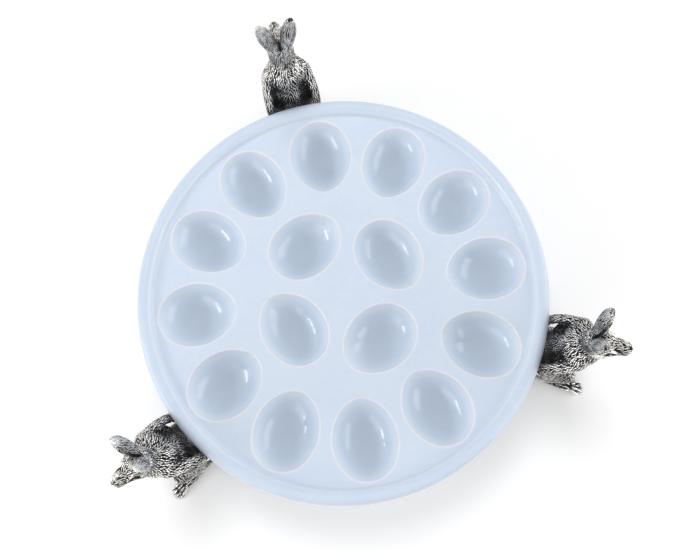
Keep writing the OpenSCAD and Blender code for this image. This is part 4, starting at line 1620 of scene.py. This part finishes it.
def worn_group():
    """Antiqued pewter: bright where it is rubbed, dark patina in the recesses, fine pits; on the
    hares the raised value it reads also carries painted light and shade
    """
    t = EffectTree(
        "worn_pewter",
        {"Place": "Vector", "Raised": "Float", "Silver": "Color", "Patina": "Color"},
        {"Color": "Color", "Worn": "Float", "Normal": "Vector"},
    )
    place, raised, silver, patina = t.given
    mottle = t.noise(place, PEWTER_MOTTLE, 4.0, 0.6)
    cloud = t.noise(place, PEWTER_CLOUD, 2.0)
    grain = t.noise(place, PEWTER_GRAIN, 2.0)
    swayed = raised + (mottle - 0.5) * MOTTLE_SWAY + (cloud - 0.5) * CLOUD_SWAY
    worn = t.step(swayed, WEAR_START, WEAR_FULL)
    pits = t.bump(mottle, PIT_DEPTH, 0.6)
    return t.finish(
        t.blend_colour(patina, silver, worn), worn, t.bump(grain, GRAIN_DEPTH, 0.5, pits)
    )


def pewter(s, name, raised):
    """A pewter finish; raised makes the value that says how far a point stands out, which on the
    hares also holds painted light and shade
    """
    f = Finish(name)
    tree = bpy.data.node_groups.get("worn_pewter") or worn_group()
    node = f.node("ShaderNodeGroup", node_tree=tree)
    for label, value in (
        ("Place", f.place), ("Raised", raised(f)), ("Silver", rgba(s.silver)),
        ("Patina", rgba(s.patina)),
    ):
        f.feed(node.inputs[label], value)
    worn = f.out(node, "Worn")
    f.set("Base Color", f.out(node, "Color"))
    f.set("Roughness", f.mix(PATINA_ROUGH, RUBBED_ROUGH, worn))
    f.set("Metallic", f.mix(PATINA_METAL, RUBBED_METAL, worn))
    f.set("Normal", f.out(node, "Normal"))
    return f.material


def fur_and_recess(f):
    """How far cast fur stands out: strokes and ridges up with painted light on upward faces,
    recesses and bare skin down with painted shade on the lower back
    """
    coat, polish = f.attribute("coat"), f.attribute("polish")
    skin = SKIN - coat * COAT_FALL
    rubbed = f.attribute("ridge") * (RIDGE_SKIN - coat * RIDGE_COAT + polish * RIDGE_STROKE)
    recess_and_shade = f.attribute("cavity") * (1.0 - polish * STROKE_CLEARS)
    return skin + polish * STROKE_RISE + rubbed - recess_and_shade


def even_wear(f):
    """How far the plain ring stands out: about halfway all round"""
    return f.noise(f.place, 60.0) * 0.3 + 0.29


class EGGPLATTER_OT_ring(Operator):
    """Finishes the support ring and its pads, which the frame gives"""

    bl_idname = "eggplatter.ring"
    bl_label = "Finish Ring"

    def execute(self, context):
        s = context.scene.egg_pewter
        finishes = {
            "support_ring": pewter(s, "ring_pewter", even_wear),
            "ring_pads": silicone(s),
        }
        for node, material in finishes.items():
            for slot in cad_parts[node].material_slots:
                slot.material = material
        return {"FINISHED"}


def silicone(s):
    """Soft pale rubber with a faint mould grain"""
    f = Finish("pad_silicone", Roughness=0.55, IOR=1.41, Subsurface_Weight=0.15)
    grain = f.noise(f.place, 1800.0, 3.0)
    dull = shaded(s.pad, 0.9, 0.9, 0.88)
    f.set("Base Color", f.blend_colour(dull, rgba(s.pad), f.noise(f.place, 240.0)))
    f.set("Normal", f.bump(grain, 0.04 * MM, 0.4))
    return f.material


# Lamps: the setting that holds the power, heading and height in degrees, distance, width and
# height in metres, and whether glossy surfaces mirror it
LAMPS = (
    ("key", 90.0, 63.0, 3.0, 1.4, 1.4, False),
    ("strip", 183.0, 24.0, 1.1, 0.62, 0.07, True),
    ("fill", -20.0, 23.0, 2.6, 3.0, 1.3, True),
    ("side", 205.0, 24.0, 2.6, 2.8, 1.4, True),
)


# Width of the camera's picture plane in millimetres, and the nearest that it sees in metres
SENSOR, NEAREST = 36.0, 0.01


class EGGPLATTER_OT_stage(Operator):
    """Makes the floor, the lights and the camera"""

    bl_idname = "eggplatter.stage"
    bl_label = "Make Stage"

    def execute(self, context):
        s = context.scene.egg_stage
        floor_piece(s)
        world_light(context.scene, s)
        for setting, *place, glossy in LAMPS:
            lamp = soft_light(f"{setting}_light", *place, getattr(s, setting))
            lamp.visible_glossy = glossy
        data = bpy.data.cameras.new("camera")
        data.lens = s.lens
        data.sensor_width = SENSOR
        data.clip_start = NEAREST
        camera = bpy.data.objects.new("camera", data)
        camera.location = s.eye
        camera.rotation_euler = Euler(s.aim)
        context.scene.collection.objects.link(camera)
        context.scene.camera = camera
        context.scene.view_settings.view_transform = "Standard"
        return {"FINISHED"}


def soft_light(name, heading, height, distance, width, depth, watts):
    """A rectangular light that looks at the middle of the tray"""
    data = bpy.data.lights.new(name, "AREA")
    data.shape = "RECTANGLE"
    data.size, data.size_y = width, depth
    data.energy = watts
    lamp = bpy.data.objects.new(name, data)
    flat = math.cos(math.radians(height)) * distance
    turn = math.radians(heading)
    away = Vector(
        (math.cos(turn) * flat, math.sin(turn) * flat, math.sin(math.radians(height)) * distance)
    )
    lamp.location = Vector((TRAY_MIDDLE.x, TRAY_MIDDLE.y, RIM_H)) + away
    lamp.rotation_euler = away.to_track_quat("Z", "Y").to_euler()
    bpy.context.scene.collection.objects.link(lamp)
    return lamp


def seen_directly(tree):
    """1 for rays from the camera and for mirrored or transmitted ones"""
    path = tree.node("ShaderNodeLightPath")
    total = tree.out(path, "Is Camera Ray") + tree.out(path, "Is Glossy Ray")
    return tree.clamp(total + tree.out(path, "Is Transmission Ray"))


def world_light(scene, s):
    world = bpy.data.worlds.new("even_sky")
    world.use_nodes = True
    tree = NodeTree(world.node_tree)
    background = world.node_tree.nodes["Background"]
    tree.feed(background.inputs["Strength"], tree.mix(s.sky, 1.0, seen_directly(tree)))
    background.inputs["Color"].default_value = (1.0, 1.0, 1.0, 1.0)
    scene.world = world


# The floor's mesh and its reach, and where its own glow grows towards the horizon, in metres
FLOOR_RINGS, FLOOR_SPOKES, FLOOR_REACH = 8, 64, 4.0
GLOW_START, GLOW_END, FAR_GLOW = 0.5, 1.8, 0.8


def floor_piece(s):
    """A wide round floor under the platter, denser towards its middle"""
    points = [(TRAY_MIDDLE.x, TRAY_MIDDLE.y, 0.0)]
    for ring in range(1, FLOOR_RINGS + 1):
        radius = FLOOR_REACH * (ring / FLOOR_RINGS) ** 2
        for spoke in range(FLOOR_SPOKES):
            turn = TURN * spoke / FLOOR_SPOKES
            x, y = radius * math.cos(turn), radius * math.sin(turn)
            points.append((TRAY_MIDDLE.x + x, TRAY_MIDDLE.y + y, 0.0))
    nexts = [(k, (k + 1) % FLOOR_SPOKES) for k in range(FLOOR_SPOKES)]
    faces = [(0, 1 + k, 1 + after) for k, after in nexts]
    for ring in range(FLOOR_RINGS - 1):
        inner = 1 + ring * FLOOR_SPOKES
        outer = inner + FLOOR_SPOKES
        faces += [(inner + k, outer + k, outer + after, inner + after) for k, after in nexts]
    mesh = bpy.data.meshes.new("floor")
    mesh.from_pydata(points, [], faces)
    f = Finish("floor_paper", Roughness=0.9)
    shade = shaded(s.floor, 0.99, 0.99, 0.99)
    f.set("Base Color", f.blend_colour(shade, rgba(s.floor), f.noise(f.place, 900.0, 2.0)))
    f.shader.inputs["Emission Color"].default_value = (1.0, 1.0, 1.0, 1.0)
    away = f.get("ShaderNodeVectorMath", f.place, operation="LENGTH")
    glow = f.step(away, GLOW_START, GLOW_END, s.floor_glow, FAR_GLOW)
    f.set("Emission Strength", seen_directly(f) * glow)
    mesh.materials.append(f.material)
    floor = bpy.data.objects.new("floor", mesh)
    bpy.context.scene.collection.objects.link(floor)


class EGGPLATTER_PT_panel(Panel):
    """Lists the platter's makers and sizes in the sidebar"""

    bl_idname = "EGGPLATTER_PT_panel"
    bl_label = "Egg Platter"
    bl_space_type = "VIEW_3D"
    bl_region_type = "UI"
    bl_category = "Egg Platter"

    def draw(self, context):
        layout = self.layout
        for settings, maker in (
            ("egg_stage", EGGPLATTER_OT_stage), ("egg_tray", EGGPLATTER_OT_tray),
            ("egg_hare", EGGPLATTER_OT_hares), ("egg_pewter", EGGPLATTER_OT_ring),
        ):
            box = layout.box()
            box.operator(maker.bl_idname)
            group = getattr(context.scene, settings)
            for name in group.__annotations__:
                box.prop(group, name)


SETTINGS = {
    "egg_tray": TraySettings,
    "egg_hare": HareSettings,
    "egg_pewter": PewterSettings,
    "egg_stage": StageSettings,
}
OPERATORS = (
    EGGPLATTER_OT_stage, EGGPLATTER_OT_tray, EGGPLATTER_OT_hares, EGGPLATTER_OT_ring,
)


def register():
    for name, settings in SETTINGS.items():
        bpy.utils.register_class(settings)
        setattr(bpy.types.Scene, name, PointerProperty(type=settings))
    for kind in (*OPERATORS, EGGPLATTER_PT_panel):
        bpy.utils.register_class(kind)


def unregister():
    for kind in (EGGPLATTER_PT_panel, *reversed(OPERATORS)):
        bpy.utils.unregister_class(kind)
    for name, settings in SETTINGS.items():
        delattr(bpy.types.Scene, name)
        bpy.utils.unregister_class(settings)


def main():
    register()
    for maker in OPERATORS:
        family, name = maker.bl_idname.split(".")
        getattr(getattr(bpy.ops, family), name)()


if __name__ == "__main__":
    main()
